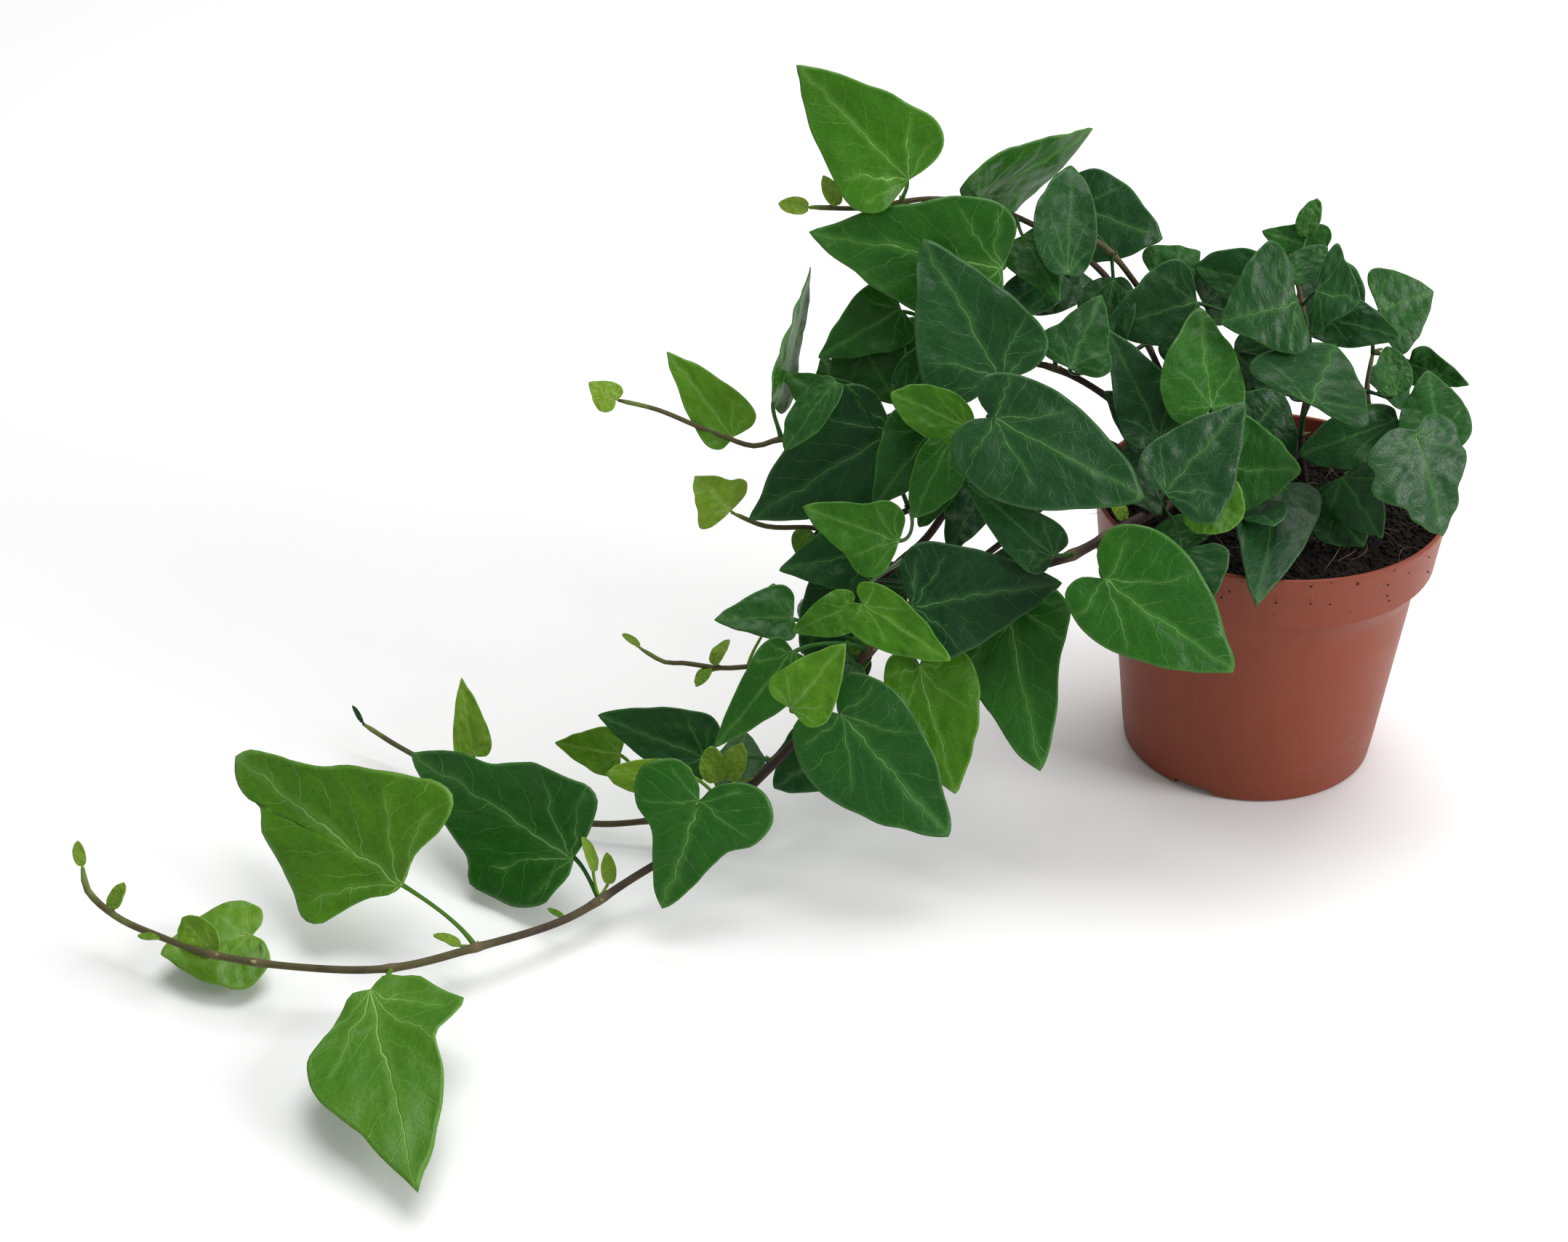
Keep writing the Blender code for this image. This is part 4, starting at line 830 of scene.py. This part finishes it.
def leaf_turn(angles):
    """A leaf's turn: Y along the midrib to the tip, Z out of its upper face."""
    heading, rise, roll = (math.radians(a) for a in angles)
    reach = math.cos(rise)
    midrib = Vector((reach * math.cos(heading), reach * math.sin(heading), math.sin(rise)))
    level = midrib.cross(Vector((0, 0, 1))).normalized()
    upright = level.cross(midrib)
    face = upright * math.cos(roll) + midrib.cross(upright) * math.sin(roll)
    return Matrix((midrib.cross(face), midrib, face)).transposed()


def skew_of(number, kind):
    """How much wider a blade is on its right; an outline with its own left half stays as it is."""
    return 0 if kind in LEFT_HALVES else SKEW * math.sin(GOLDEN_TURN * number)


def metres(size):
    """A length and a width in centimetres, as metres."""
    length, width = size
    return length * CM, width * CM


def blade_outline(kind, length, width, skew, seed):
    """From the notch round the right edge, over the tip and back on the left, slightly uneven."""
    halves = []
    for half in (OUTLINES[kind], LEFT_HALVES.get(kind, OUTLINES[kind])):
        corners = [Vector((x * width / 2, y * length)) for x, y in half]
        halves.append(even(smooth_route(corners, length / 60), EDGE_POINTS // 2))
    right, left = halves
    outline = [Vector((p.x * (1 + skew), p.y)) for p in right]
    outline += [Vector((-p.x * (1 - skew), p.y)) for p in reversed(left[1:-1])]
    middle = Vector((0, BLADE_CENTRE * length))
    uneven = []
    for point in outline:
        ripple = noise.noise(Vector((point.x / width * 5, point.y / length * 5, seed * 7.3)))
        calm = min(1, (point - outline[0]).length / (0.25 * length))
        uneven.append(point + (point - middle) * ripple * 0.045 * calm)
    return uneven


def bent(x, y, kind, length):
    """The height of a blade above its flat outline."""
    fold, tip, side = BENDS[kind]
    along = max(y, 0) / length
    vee = fold * math.sqrt(x * x + (0.04 * length) ** 2)
    return vee - tip * length * along**2 - side * x * x / length * 2


def blade_height(x, y, share, kind, length, seed):
    """The bend, with a wave along the margin and soft puckers between the veins."""
    turn = math.atan2(x, y - BLADE_CENTRE * length)
    wave = math.sin(3 * turn + seed * 5.1) * 0.5 + math.sin(5 * turn + seed * 2.3) * 0.35
    pucker = noise.noise(Vector((x * 130, y * 130, seed * 3.7)))
    crinkle = noise.noise(Vector((x * 290, y * 290, seed * 1.9)))
    relief = (0.9 * pucker + 0.4 * crinkle) * MM * min(1, 2 * share)
    return bent(x, y, kind, length) + 0.021 * length * wave * share**3 + relief


def add_blade(form, base, turn, size, kind, tone, seed, skew):
    """The upper surface of a blade: a fan of rings round a middle near its base."""
    length, width = size
    outline = blade_outline(kind, length, width, skew, seed)
    middle = Vector((0, BLADE_CENTRE * length))

    def put(flat, share):
        height = blade_height(flat.x, flat.y, share, kind, length, seed)
        place = base + turn @ Vector((flat.x, flat.y, height))
        return form.point(place, (flat.x / (width / 2), flat.y / length), (tone, seed, 1 - share))

    centre = put(middle, 0)
    rings = [[put(middle + (point - middle) * share, share) for point in outline] for share in BLADE_RINGS]
    count = len(outline)
    for i in range(count):
        j = (i + 1) % count
        form.face((centre, rings[0][i], rings[0][j]))
        for inner, outer in zip(rings, rings[1:]):
            form.face((inner[i], outer[i], outer[j], inner[j]))


def stalk_route(stem, base, turn):
    """From the middle of the stem to just inside the base of the blade."""
    midrib, face = turn.col[1], turn.col[2]
    route = stem_route(stem)[1:]
    near = min(range(len(route)), key=lambda i: (route[i] - base).length)
    back = min(0.35 * (route[near] - base).length, 1.2 * CM)
    at = max(0, near - round(back / STEM_STEP))
    run = (route[min(at + 1, len(route) - 1)] - route[max(at - 1, 0)]).normalized()
    reach = base - route[at]
    out = (reach - run * reach.dot(run) * 0.8).normalized()
    start = route[at]
    pull = reach.length / 3
    end = base + midrib * 2 * MM - face * 0.2 * MM
    bend = base - (midrib * 0.5 + face * 0.5) * pull
    return [bezier(start, start + out * pull, bend, end, i / STALK_STEPS) for i in range(STALK_STEPS + 1)]


def tip_anchored(node, turn, size, kind):
    """Where a blade's base lies when its tip meets the tip of its CAD solid."""
    length = size[0]
    tip = Vector((0, length, bent(0, length, kind, length)))
    corners = [vertex.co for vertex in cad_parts[node].data.vertices]
    far = max(corner.dot(turn.col[1]) for corner in corners)
    ends = [corner for corner in corners if far - corner.dot(turn.col[1]) < 0.6 * MM]
    return sum(ends, Vector()) / len(ends) - turn @ tip


def make_stalk(name, stem, base, turn, length, tone, seed):
    """A leaf stalk, thinner on a small leaf, that flares a little at both ends."""
    slender = STALK_RADIUS * (0.6 + 0.4 * min(1, length / FULL_LENGTH))
    middle = STALK_STEPS / 2
    radii = []
    values = []
    for i in range(STALK_STEPS + 1):
        flare = 0.5 * max(0, 1 - i / middle) ** 2 + 0.25 * max(0, i / middle - 1) ** 2
        radii.append(slender * (1 + flare))
        values.append((tone, seed, 1 - i / STALK_STEPS))
    form = Form()
    form.bar(stalk_route(stem, base, turn), radii, STALK_SIDES, values, 2)
    return form.mesh(f"{name}_stalk")


def make_leaf(name, stem, base, turn, size, kind, tone, number, finishes, nodes=()):
    """One leaf: a blade with a face and a back, joined with its stalk."""
    seed = (number * SEED_STEP) % 1 * SEED_RANGE
    form = Form()
    add_blade(form, base, turn, size, kind, tone, seed, skew_of(number, kind))
    blade = helper(name, form.mesh(name))
    shell = blade.modifiers.new("thickness", "SOLIDIFY")
    shell.thickness = BLADE
    shell.offset = 0
    shell.material_offset = 1
    for material in finishes[kind]:
        blade.data.materials.append(material)
    stalk = make_stalk(name, stem, base, turn, size[0], tone, seed)
    joined = join_meshes(name, [plain_mesh(blade, name), stalk])
    new_piece(f"{name}_leaf", joined, [*finishes[kind], finishes["stalk"]], nodes)


def join_meshes(name, meshes):
    """Several meshes as one, with their maps and values."""
    form = bmesh.new()
    for mesh in meshes:
        form.from_mesh(mesh)
    joined = bpy.data.meshes.new(name)
    form.to_mesh(joined)
    form.free()
    joined.materials.clear()
    for mesh in meshes:
        bpy.data.meshes.remove(mesh)
    return joined


def make_leaves(finishes):
    """The leaves of all three tables."""
    for number, (node, stem, angles, size, kind, tone) in enumerate(LEAVES):
        turn = leaf_turn(angles)
        base = tip_anchored(node, turn, metres(size), kind)
        make_leaf(node, stem, base, turn, metres(size), kind, tone, number, finishes, (node,))
    for number, (name, stem, base, angles, size, kind, tone) in enumerate(SPROUTS):
        base = Vector(base) * CM
        make_leaf(name, stem, base, leaf_turn(angles), metres(size), kind, tone, number, finishes)
    for number, (name, stem, share, angles, stalk, size, kind, tone) in enumerate(SHOOTS):
        route = stem_route(stem, FINE_STEP)
        turn = leaf_turn(angles)
        base = route[round(share * (len(route) - 1))] + turn.col[1] * stalk * CM
        make_leaf(name, stem, base, turn, metres(size), kind, tone, number, finishes)


# --- stems -------------------------------------------------------------------------------------

def joints_of(stem):
    """Where the leaves of LEAVES and SPROUTS join a stem."""
    found = []
    for node, owner, angles, size, kind, _ in LEAVES:
        if owner == stem:
            turn = leaf_turn(angles)
            base = tip_anchored(node, turn, metres(size), kind)
            found.append(stalk_route(stem, base, turn)[0])
    for _, owner, base, angles, _, _, _ in SPROUTS:
        if owner == stem:
            found.append(stalk_route(stem, Vector(base) * CM, leaf_turn(angles))[0])
    return found


def make_stems(bark):
    """Stems with a swelling at each joint, where the bark turns pale."""
    joints = []
    for number, (name, (thick, thin, _)) in enumerate(STEMS.items()):
        route = stem_route(name, FINE_STEP)
        here = joints_of(name)
        joints += here
        last = len(route) - 1
        radii = []
        values = []
        for i, place in enumerate(route):
            swell = max([math.exp(-(((place - joint).length / SWELLING) ** 2)) for joint in here] + [0])
            sway = noise.noise(place * 90)
            radii.append((thick + (thin - thick) * i / last) * MM * (1 + 0.28 * swell + 0.08 * sway))
            values.append((i / last, number * 1.7, swell))
        radii[-1] *= 0.6
        form = Form()
        form.bar(route, radii, STEM_SIDES, values)
        new_piece(f"{name}_stem", form.mesh(name), [bark], (name,))
    return joints


# --- growth trees ------------------------------------------------------------------------------

class Growth(Nodes):
    """A Geometry Nodes tree with named inputs, run once on an object."""

    def __init__(self, name):
        super().__init__(bpy.data.node_groups.new(name, "GeometryNodeTree"))
        self.sockets = {}
        self.add_input("Geometry", "NodeSocketGeometry")
        self.tree.interface.new_socket("Geometry", in_out="OUTPUT", socket_type="NodeSocketGeometry")
        self.group_input = self.tree.nodes.new("NodeGroupInput")

    def add_input(self, name, kind):
        self.sockets[name] = self.tree.interface.new_socket(name, in_out="INPUT", socket_type=kind)

    def given(self, name):
        return Wire(self, self.group_input.outputs[name])

    def random(self, kind, low, high, seed):
        sockets = {"FLOAT": (2, 3, 1), "FLOAT_VECTOR": (0, 1, 0)}[kind]
        inputs = {sockets[0]: low, sockets[1]: high, "Seed": seed}
        return self.node("FunctionNodeRandomValue", {"data_type": kind}, inputs, sockets[2])

    def scattered(self):
        """Points strewn over the ground mesh, so many to a square metre."""
        self.add_input("Count per square metre", "NodeSocketFloat")
        self.add_input("Seed", "NodeSocketInt")
        spread = {"Mesh": self.given("Geometry"), "Density": self.given("Count per square metre"),
                  "Seed": self.given("Seed")}
        return self.node("GeometryNodeDistributePointsOnFaces", {"distribute_method": "RANDOM"}, spread)

    def close(self, geometry, material):
        real = self.node("GeometryNodeRealizeInstances", None, (geometry,))
        dressed = self.node("GeometryNodeSetMaterial", None, {"Geometry": real, "Material": material})
        self.node("NodeGroupOutput", None, (dressed,))

    def run(self, ground, values, name):
        """The tree's result on the ground mesh, as a plain mesh."""
        thing = helper(name, ground)
        modifier = thing.modifiers.new("growth", "NODES")
        modifier.node_group = self.tree
        for key, value in values.items():
            modifier[self.sockets[key].identifier] = value
        return plain_mesh(thing, name)


def crumb_growth(material):
    """Crumbs of soil, scattered over a surface."""
    growth = Growth("soil_crumbs")
    growth.add_input("Crumb size", "NodeSocketFloat")
    points = growth.scattered()
    size = growth.given("Crumb size")
    lump = growth.node("GeometryNodeMeshIcoSphere", None, {"Radius": size, "Subdivisions": 2})
    where = growth.node("GeometryNodeInputPosition")
    ragged = growth.node("ShaderNodeTexNoise", None, {"Vector": where, "Scale": 900.0, "Detail": 1.0}, 1)
    shift = growth.node("ShaderNodeVectorMath", {"operation": "SUBTRACT"}, (ragged, (0.5, 0.5, 0.5)))
    scaled = {"Vector": shift, "Scale": size * 1.1}
    shift = growth.node("ShaderNodeVectorMath", {"operation": "SCALE"}, scaled)
    lump = growth.node("GeometryNodeSetPosition", None, {"Geometry": lump, "Offset": shift})
    turn = growth.random("FLOAT_VECTOR", (0.0, 0.0, 0.0), (6.28, 6.28, 6.28), growth.given("Seed"))
    scale = growth.random("FLOAT_VECTOR", (0.35, 0.35, 0.3), (1.5, 1.3, 1.0), growth.given("Seed") + 1)
    placed = growth.node("GeometryNodeInstanceOnPoints", None,
                         {"Points": points, "Instance": lump, "Rotation": turn, "Scale": scale})
    growth.close(placed, material)
    return growth


def fibre_growth(material):
    """Curved coir fibres that lie on a surface."""
    growth = Growth("coir_fibres")
    growth.add_input("Fibre length", "NodeSocketFloat")
    growth.add_input("Fibre radius", "NodeSocketFloat")
    points = growth.scattered()
    long = growth.given("Fibre length")
    start = growth.node("ShaderNodeCombineXYZ", None, (long * -0.5, 0.0, 0.0))
    crest = growth.node("ShaderNodeCombineXYZ", None, (long * 0.1, long * 0.45, long * 0.22))
    end = growth.node("ShaderNodeCombineXYZ", None, (long * 0.5, long * -0.1, 0.0))
    line = growth.node("GeometryNodeCurveQuadraticBezier", None,
                       {"Resolution": 7, "Start": start, "Middle": crest, "End": end})
    ring = growth.node("GeometryNodeCurvePrimitiveCircle", None,
                       {"Resolution": 4, "Radius": growth.given("Fibre radius")})
    fibre = growth.node("GeometryNodeCurveToMesh", None,
                        {"Curve": line, "Profile Curve": ring, "Fill Caps": True})
    lie = Wire(growth, points.socket.node.outputs["Rotation"])
    scale = growth.random("FLOAT", 0.3, 1.2, growth.given("Seed") + 1)
    placed = growth.node("GeometryNodeInstanceOnPoints", None,
                         {"Points": points, "Instance": fibre, "Rotation": lie, "Scale": scale})
    turn = growth.random("FLOAT_VECTOR", (-0.5, -0.35, 0.0), (0.9, 0.35, 6.28), growth.given("Seed"))
    turn = growth.node("FunctionNodeEulerToRotation", None, (turn,))
    placed = growth.node("GeometryNodeRotateInstances", None, {"Instances": placed, "Rotation": turn})
    growth.close(placed, material)
    return growth


def bud_growth(material):
    """A pointed bud at each point, turned the way that the point's aim says."""
    growth = Growth("node_buds")
    growth.add_input("Bud length", "NodeSocketFloat")
    growth.add_input("Seed", "NodeSocketInt")
    long = growth.given("Bud length")
    ball = growth.node("GeometryNodeMeshUVSphere", None, {"Segments": 8, "Rings": 6, "Radius": long * 0.5})
    where = growth.node("GeometryNodeInputPosition")
    high = where.part(2) / long
    slim = 0.42 - high * 0.36
    raised = where.part(2) + long * 0.4
    shaped = growth.node("ShaderNodeCombineXYZ", None, (where.part(0) * slim, where.part(1) * slim, raised))
    bud = growth.node("GeometryNodeSetPosition", None, {"Geometry": ball, "Position": shaped})
    aim = growth.node("GeometryNodeInputNamedAttribute", {"data_type": "FLOAT_VECTOR"}, {"Name": "aim"})
    turn = growth.node("FunctionNodeAlignRotationToVector", {"axis": "Z"}, {"Vector": aim})
    size = growth.random("FLOAT", 0.55, 1.25, growth.given("Seed"))
    points = growth.node("GeometryNodeMeshToPoints", None, {"Mesh": growth.given("Geometry")})
    placed = growth.node("GeometryNodeInstanceOnPoints", None,
                         {"Points": points, "Instance": bud, "Rotation": turn, "Scale": size})
    growth.close(placed, material)
    return growth


def grow_piece(growth, ground, values, name, material):
    """A piece that a growth tree makes on a ground mesh."""
    mesh = growth.run(ground, values, name)
    mesh.materials.clear()
    new_piece(name, mesh, [material])


def make_buds(joints, material):
    """Buds and bracts in the joints between stalk and stem."""
    ground = bpy.data.meshes.new("joint_points")
    places = []
    aims = []
    for number, joint in enumerate(joints):
        turn = number * GOLDEN_TURN
        side = Vector((math.cos(turn), math.sin(turn), 0.7))
        places.append(joint + side.normalized() * 0.6 * MM)
        aims.extend(side.normalized())
    ground.from_pydata(places, [], [])
    aim = ground.attributes.new("aim", "FLOAT_VECTOR", "POINT")
    aim.data.foreach_set("vector", aims)
    values = {"Bud length": 3.2 * MM, "Seed": 5}
    grow_piece(bud_growth(material), ground, values, "node_buds", material)


# --- pot and soil ------------------------------------------------------------------------------

def arc(centre, radius, start, end, steps):
    """Points of a fillet, in degrees."""
    turns = [math.radians(start + (end - start) * i / steps) for i in range(steps + 1)]
    return [(centre[0] + radius * math.cos(t), centre[1] + radius * math.sin(t)) for t in turns]


def turned(name, profile, segments):
    """A profile of (radius, height) turned round the pot's axis, as a closed mesh."""
    mesh = bpy.data.meshes.new(name)
    count = len(profile)
    mesh.from_pydata([(r, 0, z) for r, z in profile], [(i, i + 1) for i in range(count - 1)], [])
    thing = helper(name, mesh)
    screw = thing.modifiers.new("turning", "SCREW")
    screw.steps = screw.render_steps = segments
    screw.use_merge_vertices = True
    screw.merge_threshold = 0.00002
    mesh = plain_mesh(thing, name)
    form = bmesh.new()
    form.from_mesh(mesh)
    bmesh.ops.remove_doubles(form, verts=form.verts, dist=0.00001)
    bmesh.ops.recalc_face_normals(form, faces=form.faces)
    form.to_mesh(mesh)
    form.free()
    return mesh


def pot_profile(outer, height):
    """From the middle of the underside, out and up the outside, over the lip and down the inside."""
    band_low = outer - BAND_INSET
    wall_top = outer - WALL_INSET
    band = height - BAND_HEIGHT
    shoulder = band - SHOULDER_DROP
    ring = FOOT_RADIUS - FOOT_RING_WIDTH
    profile = [(0, 0), (PAD_RADIUS, 0), (PAD_RADIUS, FLOOR_LIFT), (ring, FLOOR_LIFT), (ring, 0)]
    profile += arc((FOOT_RADIUS - FOOT_ROUND, FOOT_ROUND), FOOT_ROUND, -90, -4, 6)
    lean = (wall_top - FOOT_RADIUS) / shoulder
    profile += [(FOOT_RADIUS + lean * z * MM, z * MM) for z in (8, 20, 34, 48, 60)]
    profile += [(wall_top - 0.4 * MM, shoulder - 2 * MM), (wall_top + 0.4 * MM, shoulder + 1.2 * MM)]
    profile += [(band_low - 1.0 * MM, band - 1.0 * MM)]
    profile += arc((band_low - 0.9 * MM, band + 0.4 * MM), 0.9 * MM, -60, 0, 4)
    profile += [(band_low + 0.25 * MM, band + 3 * MM), (outer - 0.7 * MM, height - 3 * MM)]
    profile += arc((outer - LIP_ROUND, height - LIP_ROUND), LIP_ROUND, 0, 180, 10)
    profile += [(outer - 1.7 * MM, height - 4 * MM), (band_low - POT_WALL, band + 1 * MM)]
    profile += [(wall_top - POT_WALL, shoulder), (FOOT_RADIUS - POT_WALL, 5 * MM)]
    profile += [(FOOT_RADIUS - POT_WALL - 1.5 * MM, FLOOR_TOP), (0, FLOOR_TOP)]
    return profile


def cut(thing, tool):
    """Takes the tool's shape out of a thing."""
    trim = thing.modifiers.new("cut", "BOOLEAN")
    trim.operation = "DIFFERENCE"
    trim.solver = "EXACT"
    trim.object = tool


def cutter(name, form, place):
    """A bmesh moved to its place, as a helper that is cut out of another."""
    mesh = bpy.data.meshes.new(name)
    form.transform(place)
    form.to_mesh(mesh)
    form.free()
    return helper(name, mesh)


def notch_cutter(number, turn):
    """The block that cuts one notch into the foot ring."""
    form = bmesh.new()
    bmesh.ops.create_cube(form, size=1)
    bmesh.ops.scale(form, vec=NOTCH_SIZE, verts=form.verts)
    place = Matrix.Rotation(math.radians(turn), 4, "Z") @ Matrix.Translation((NOTCH_CIRCLE, 0, 0))
    return cutter(f"notch_{number}", form, place)


def drain_cutter(number):
    """The rod that cuts one drain hole through the floor."""
    form = bmesh.new()
    bmesh.ops.create_cone(form, cap_ends=True, segments=32, radius1=DRAIN_RADIUS, radius2=DRAIN_RADIUS,
                          depth=6 * MM)
    turn = math.radians(360 / DRAIN_COUNT * number + 30)
    place = (math.cos(turn) * DRAIN_CIRCLE, math.sin(turn) * DRAIN_CIRCLE, 3.5 * MM)
    return cutter(f"drain_{number}", form, Matrix.Translation(place))


def make_pot(material):
    """The turned pot with its foot notches and drain holes."""
    _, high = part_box("pot")
    pot = helper("pot", turned("pot", pot_profile(high.x, high.z), POT_SEGMENTS))
    cutters = [notch_cutter(number, turn) for number, turn in enumerate(NOTCH_TURNS)]
    cutters += [drain_cutter(number) for number in range(DRAIN_COUNT)]
    for tool in cutters:
        cut(pot, tool)
    bpy.context.view_layer.update()
    mesh = plain_mesh(pot, "pot")
    for tool in cutters:
        bpy.data.objects.remove(tool, do_unlink=True)
    mesh.shade_smooth()
    mesh.set_sharp_from_angle(angle=math.radians(SHARP_EDGE))
    mesh.materials.clear()
    new_piece("nursery_pot", mesh, [material], ("pot",))


def soil_surface(radius, level):
    """A lumpy disc, and the points of its edge."""
    form = bmesh.new()
    centre = form.verts.new((0, 0, level))
    before = []
    for ring in range(1, SOIL_RINGS + 1):
        share = ring / SOIL_RINGS
        now = []
        for k in range(SOIL_SEGMENTS):
            turn = 2 * math.pi * k / SOIL_SEGMENTS
            place = Vector((math.cos(turn) * radius * share, math.sin(turn) * radius * share, level))
            rough = noise.fractal(place * 85, 0.8, 2.1, 4) * SOIL_LUMPS
            crown = SOIL_CROWN * (1 - share**2)
            place.z += crown + rough * min(1, 6 * (1 - share))
            now.append(form.verts.new(place))
        for k in range(SOIL_SEGMENTS):
            m = (k + 1) % SOIL_SEGMENTS
            if before:
                form.faces.new((before[k], now[k], now[m], before[m]))
            else:
                form.faces.new((centre, now[k], now[m]))
        before = now
    return form, before


def make_soil(soil, fibre):
    """The lumpy mix, closed by a plug below it, with crumbs and coir on top."""
    _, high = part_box("soil")
    level = high.z - 2 * MM
    form, edge = soil_surface(SOIL_RADIUS, level)
    top = bpy.data.meshes.new("soil_top")
    form.to_mesh(top)
    below = [form.verts.new((v.co.x * 0.94, v.co.y * 0.94, level - SOIL_DEPTH)) for v in edge]
    floor = form.verts.new((0, 0, level - SOIL_DEPTH))
    for k in range(len(edge)):
        m = (k + 1) % len(edge)
        form.faces.new((edge[k], below[k], below[m], edge[m]))
        form.faces.new((floor, below[m], below[k]))
    mesh = bpy.data.meshes.new("soil")
    form.to_mesh(mesh)
    form.free()
    mesh.shade_smooth()
    new_piece("potting_mix", mesh, [soil], ("soil",))
    area = math.pi * SOIL_RADIUS**2
    values = {"Count per square metre": CRUMBS / area, "Crumb size": 1.0 * MM, "Seed": 3}
    grow_piece(crumb_growth(soil), top.copy(), values, "soil_crumbs", soil)
    values = {"Count per square metre": FIBRES / area, "Fibre length": 14 * MM,
              "Fibre radius": 0.09 * MM, "Seed": 8}
    grow_piece(fibre_growth(fibre), top, values, "coir_fibres", fibre)


def band_strip(radius, low, high, start, end):
    """A strip round part of the rim band, between two turns in degrees."""
    steps = 24
    points = []
    for i in range(steps + 1):
        turn = math.radians(start + (end - start) * i / steps)
        points += [(math.cos(turn) * radius, math.sin(turn) * radius, z) for z in (low, high)]
    mesh = bpy.data.meshes.new("band_strip")
    mesh.from_pydata(points, [], [(2 * i, 2 * i + 2, 2 * i + 3, 2 * i + 1) for i in range(steps)])
    return mesh


def make_band_dirt(soil, fibre):
    """Specks of mix and a few loose fibres that stick to the front of the rim band."""
    _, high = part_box("pot")
    top = high.z - 1 * MM
    start, end = DIRT_TURNS
    strip = band_strip(high.x - 0.35 * MM, top - DIRT_HEIGHT, top, start, end)
    area = math.radians(end - start) * high.x * DIRT_HEIGHT
    values = {"Count per square metre": DIRT_SPECKS / area, "Crumb size": 0.45 * MM, "Seed": 11}
    grow_piece(crumb_growth(soil), strip.copy(), values, "band_specks", soil)
    values = {"Count per square metre": DIRT_FIBRES / area, "Fibre length": 8 * MM,
              "Fibre radius": 0.07 * MM, "Seed": 4}
    grow_piece(fibre_growth(fibre), strip, values, "band_fibres", fibre)


# --- stage -------------------------------------------------------------------------------------

# What the camera looks at, its height as an angle, its distance, and the lens and sensor in millimetres
TARGET = Vector((-0.166, 0, 0.047))
CAMERA_RISE = math.radians(31.7)
CAMERA_DISTANCE = 0.97
LENS = 63.45
SENSOR = 36
WORLD_LIGHT = 0.42
TABLE_DROP = 0.2 * MM


def make_camera():
    """The camera, in front of the plant and above it."""
    lens = bpy.data.cameras.new("camera")
    lens.sensor_fit = "HORIZONTAL"
    lens.sensor_width = SENSOR
    lens.lens = LENS
    lens.clip_start = 0.01
    camera = bpy.data.objects.new("camera", lens)
    ahead = Vector((0, math.cos(CAMERA_RISE), -math.sin(CAMERA_RISE)))
    camera.location = TARGET - ahead * CAMERA_DISTANCE
    camera.rotation_euler = (math.pi / 2 - CAMERA_RISE, 0, 0)
    bpy.context.scene.collection.objects.link(camera)
    bpy.context.scene.camera = camera


def make_light(name, place, aim, size, power):
    """A square area light that points at its aim."""
    lamp = bpy.data.lights.new(name, "AREA")
    lamp.size = size
    lamp.energy = power
    light = bpy.data.objects.new(name, lamp)
    light.location = place
    light.rotation_euler = (Vector(aim) - Vector(place)).to_track_quat("-Z", "Y").to_euler()
    bpy.context.scene.collection.objects.link(light)


def make_stage():
    """The table, the lights and the even light of the room."""
    form = bmesh.new()
    bmesh.ops.create_grid(form, x_segments=2, y_segments=2, size=4)
    mesh = bpy.data.meshes.new("table_top")
    form.to_mesh(mesh)
    form.free()
    floor = helper("table_top", mesh)
    floor.location.z = -TABLE_DROP
    mesh.materials.append(table_finish())
    world = bpy.data.worlds.new("studio")
    world.use_nodes = True
    world.node_tree.nodes["Background"].inputs["Color"].default_value = (1, 1, 1, 1)
    world.node_tree.nodes["Background"].inputs["Strength"].default_value = WORLD_LIGHT
    bpy.context.scene.world = world
    make_light("overhead", (0.1, 0.6, 2.0), (-0.15, 0.1, 0.05), 1.6, 33)
    make_light("window", (1.3, -0.6, 0.8), (-0.05, 0, 0.08), 0.7, 17)
    bpy.context.scene.view_settings.view_transform = "Standard"


def main():
    """Builds the stage and every piece."""
    make_camera()
    make_stage()
    finishes = {kind: (leaf_finish(kind, False), leaf_finish(kind, True)) for kind in OUTLINES}
    finishes["stalk"] = stalk_finish()
    make_leaves(finishes)
    joints = make_stems(bark_finish())
    make_buds(joints, bud_finish())
    make_pot(pot_finish())
    soil = soil_finish()
    fibre = fibre_finish()
    make_soil(soil, fibre)
    make_band_dirt(soil, fibre)


main()
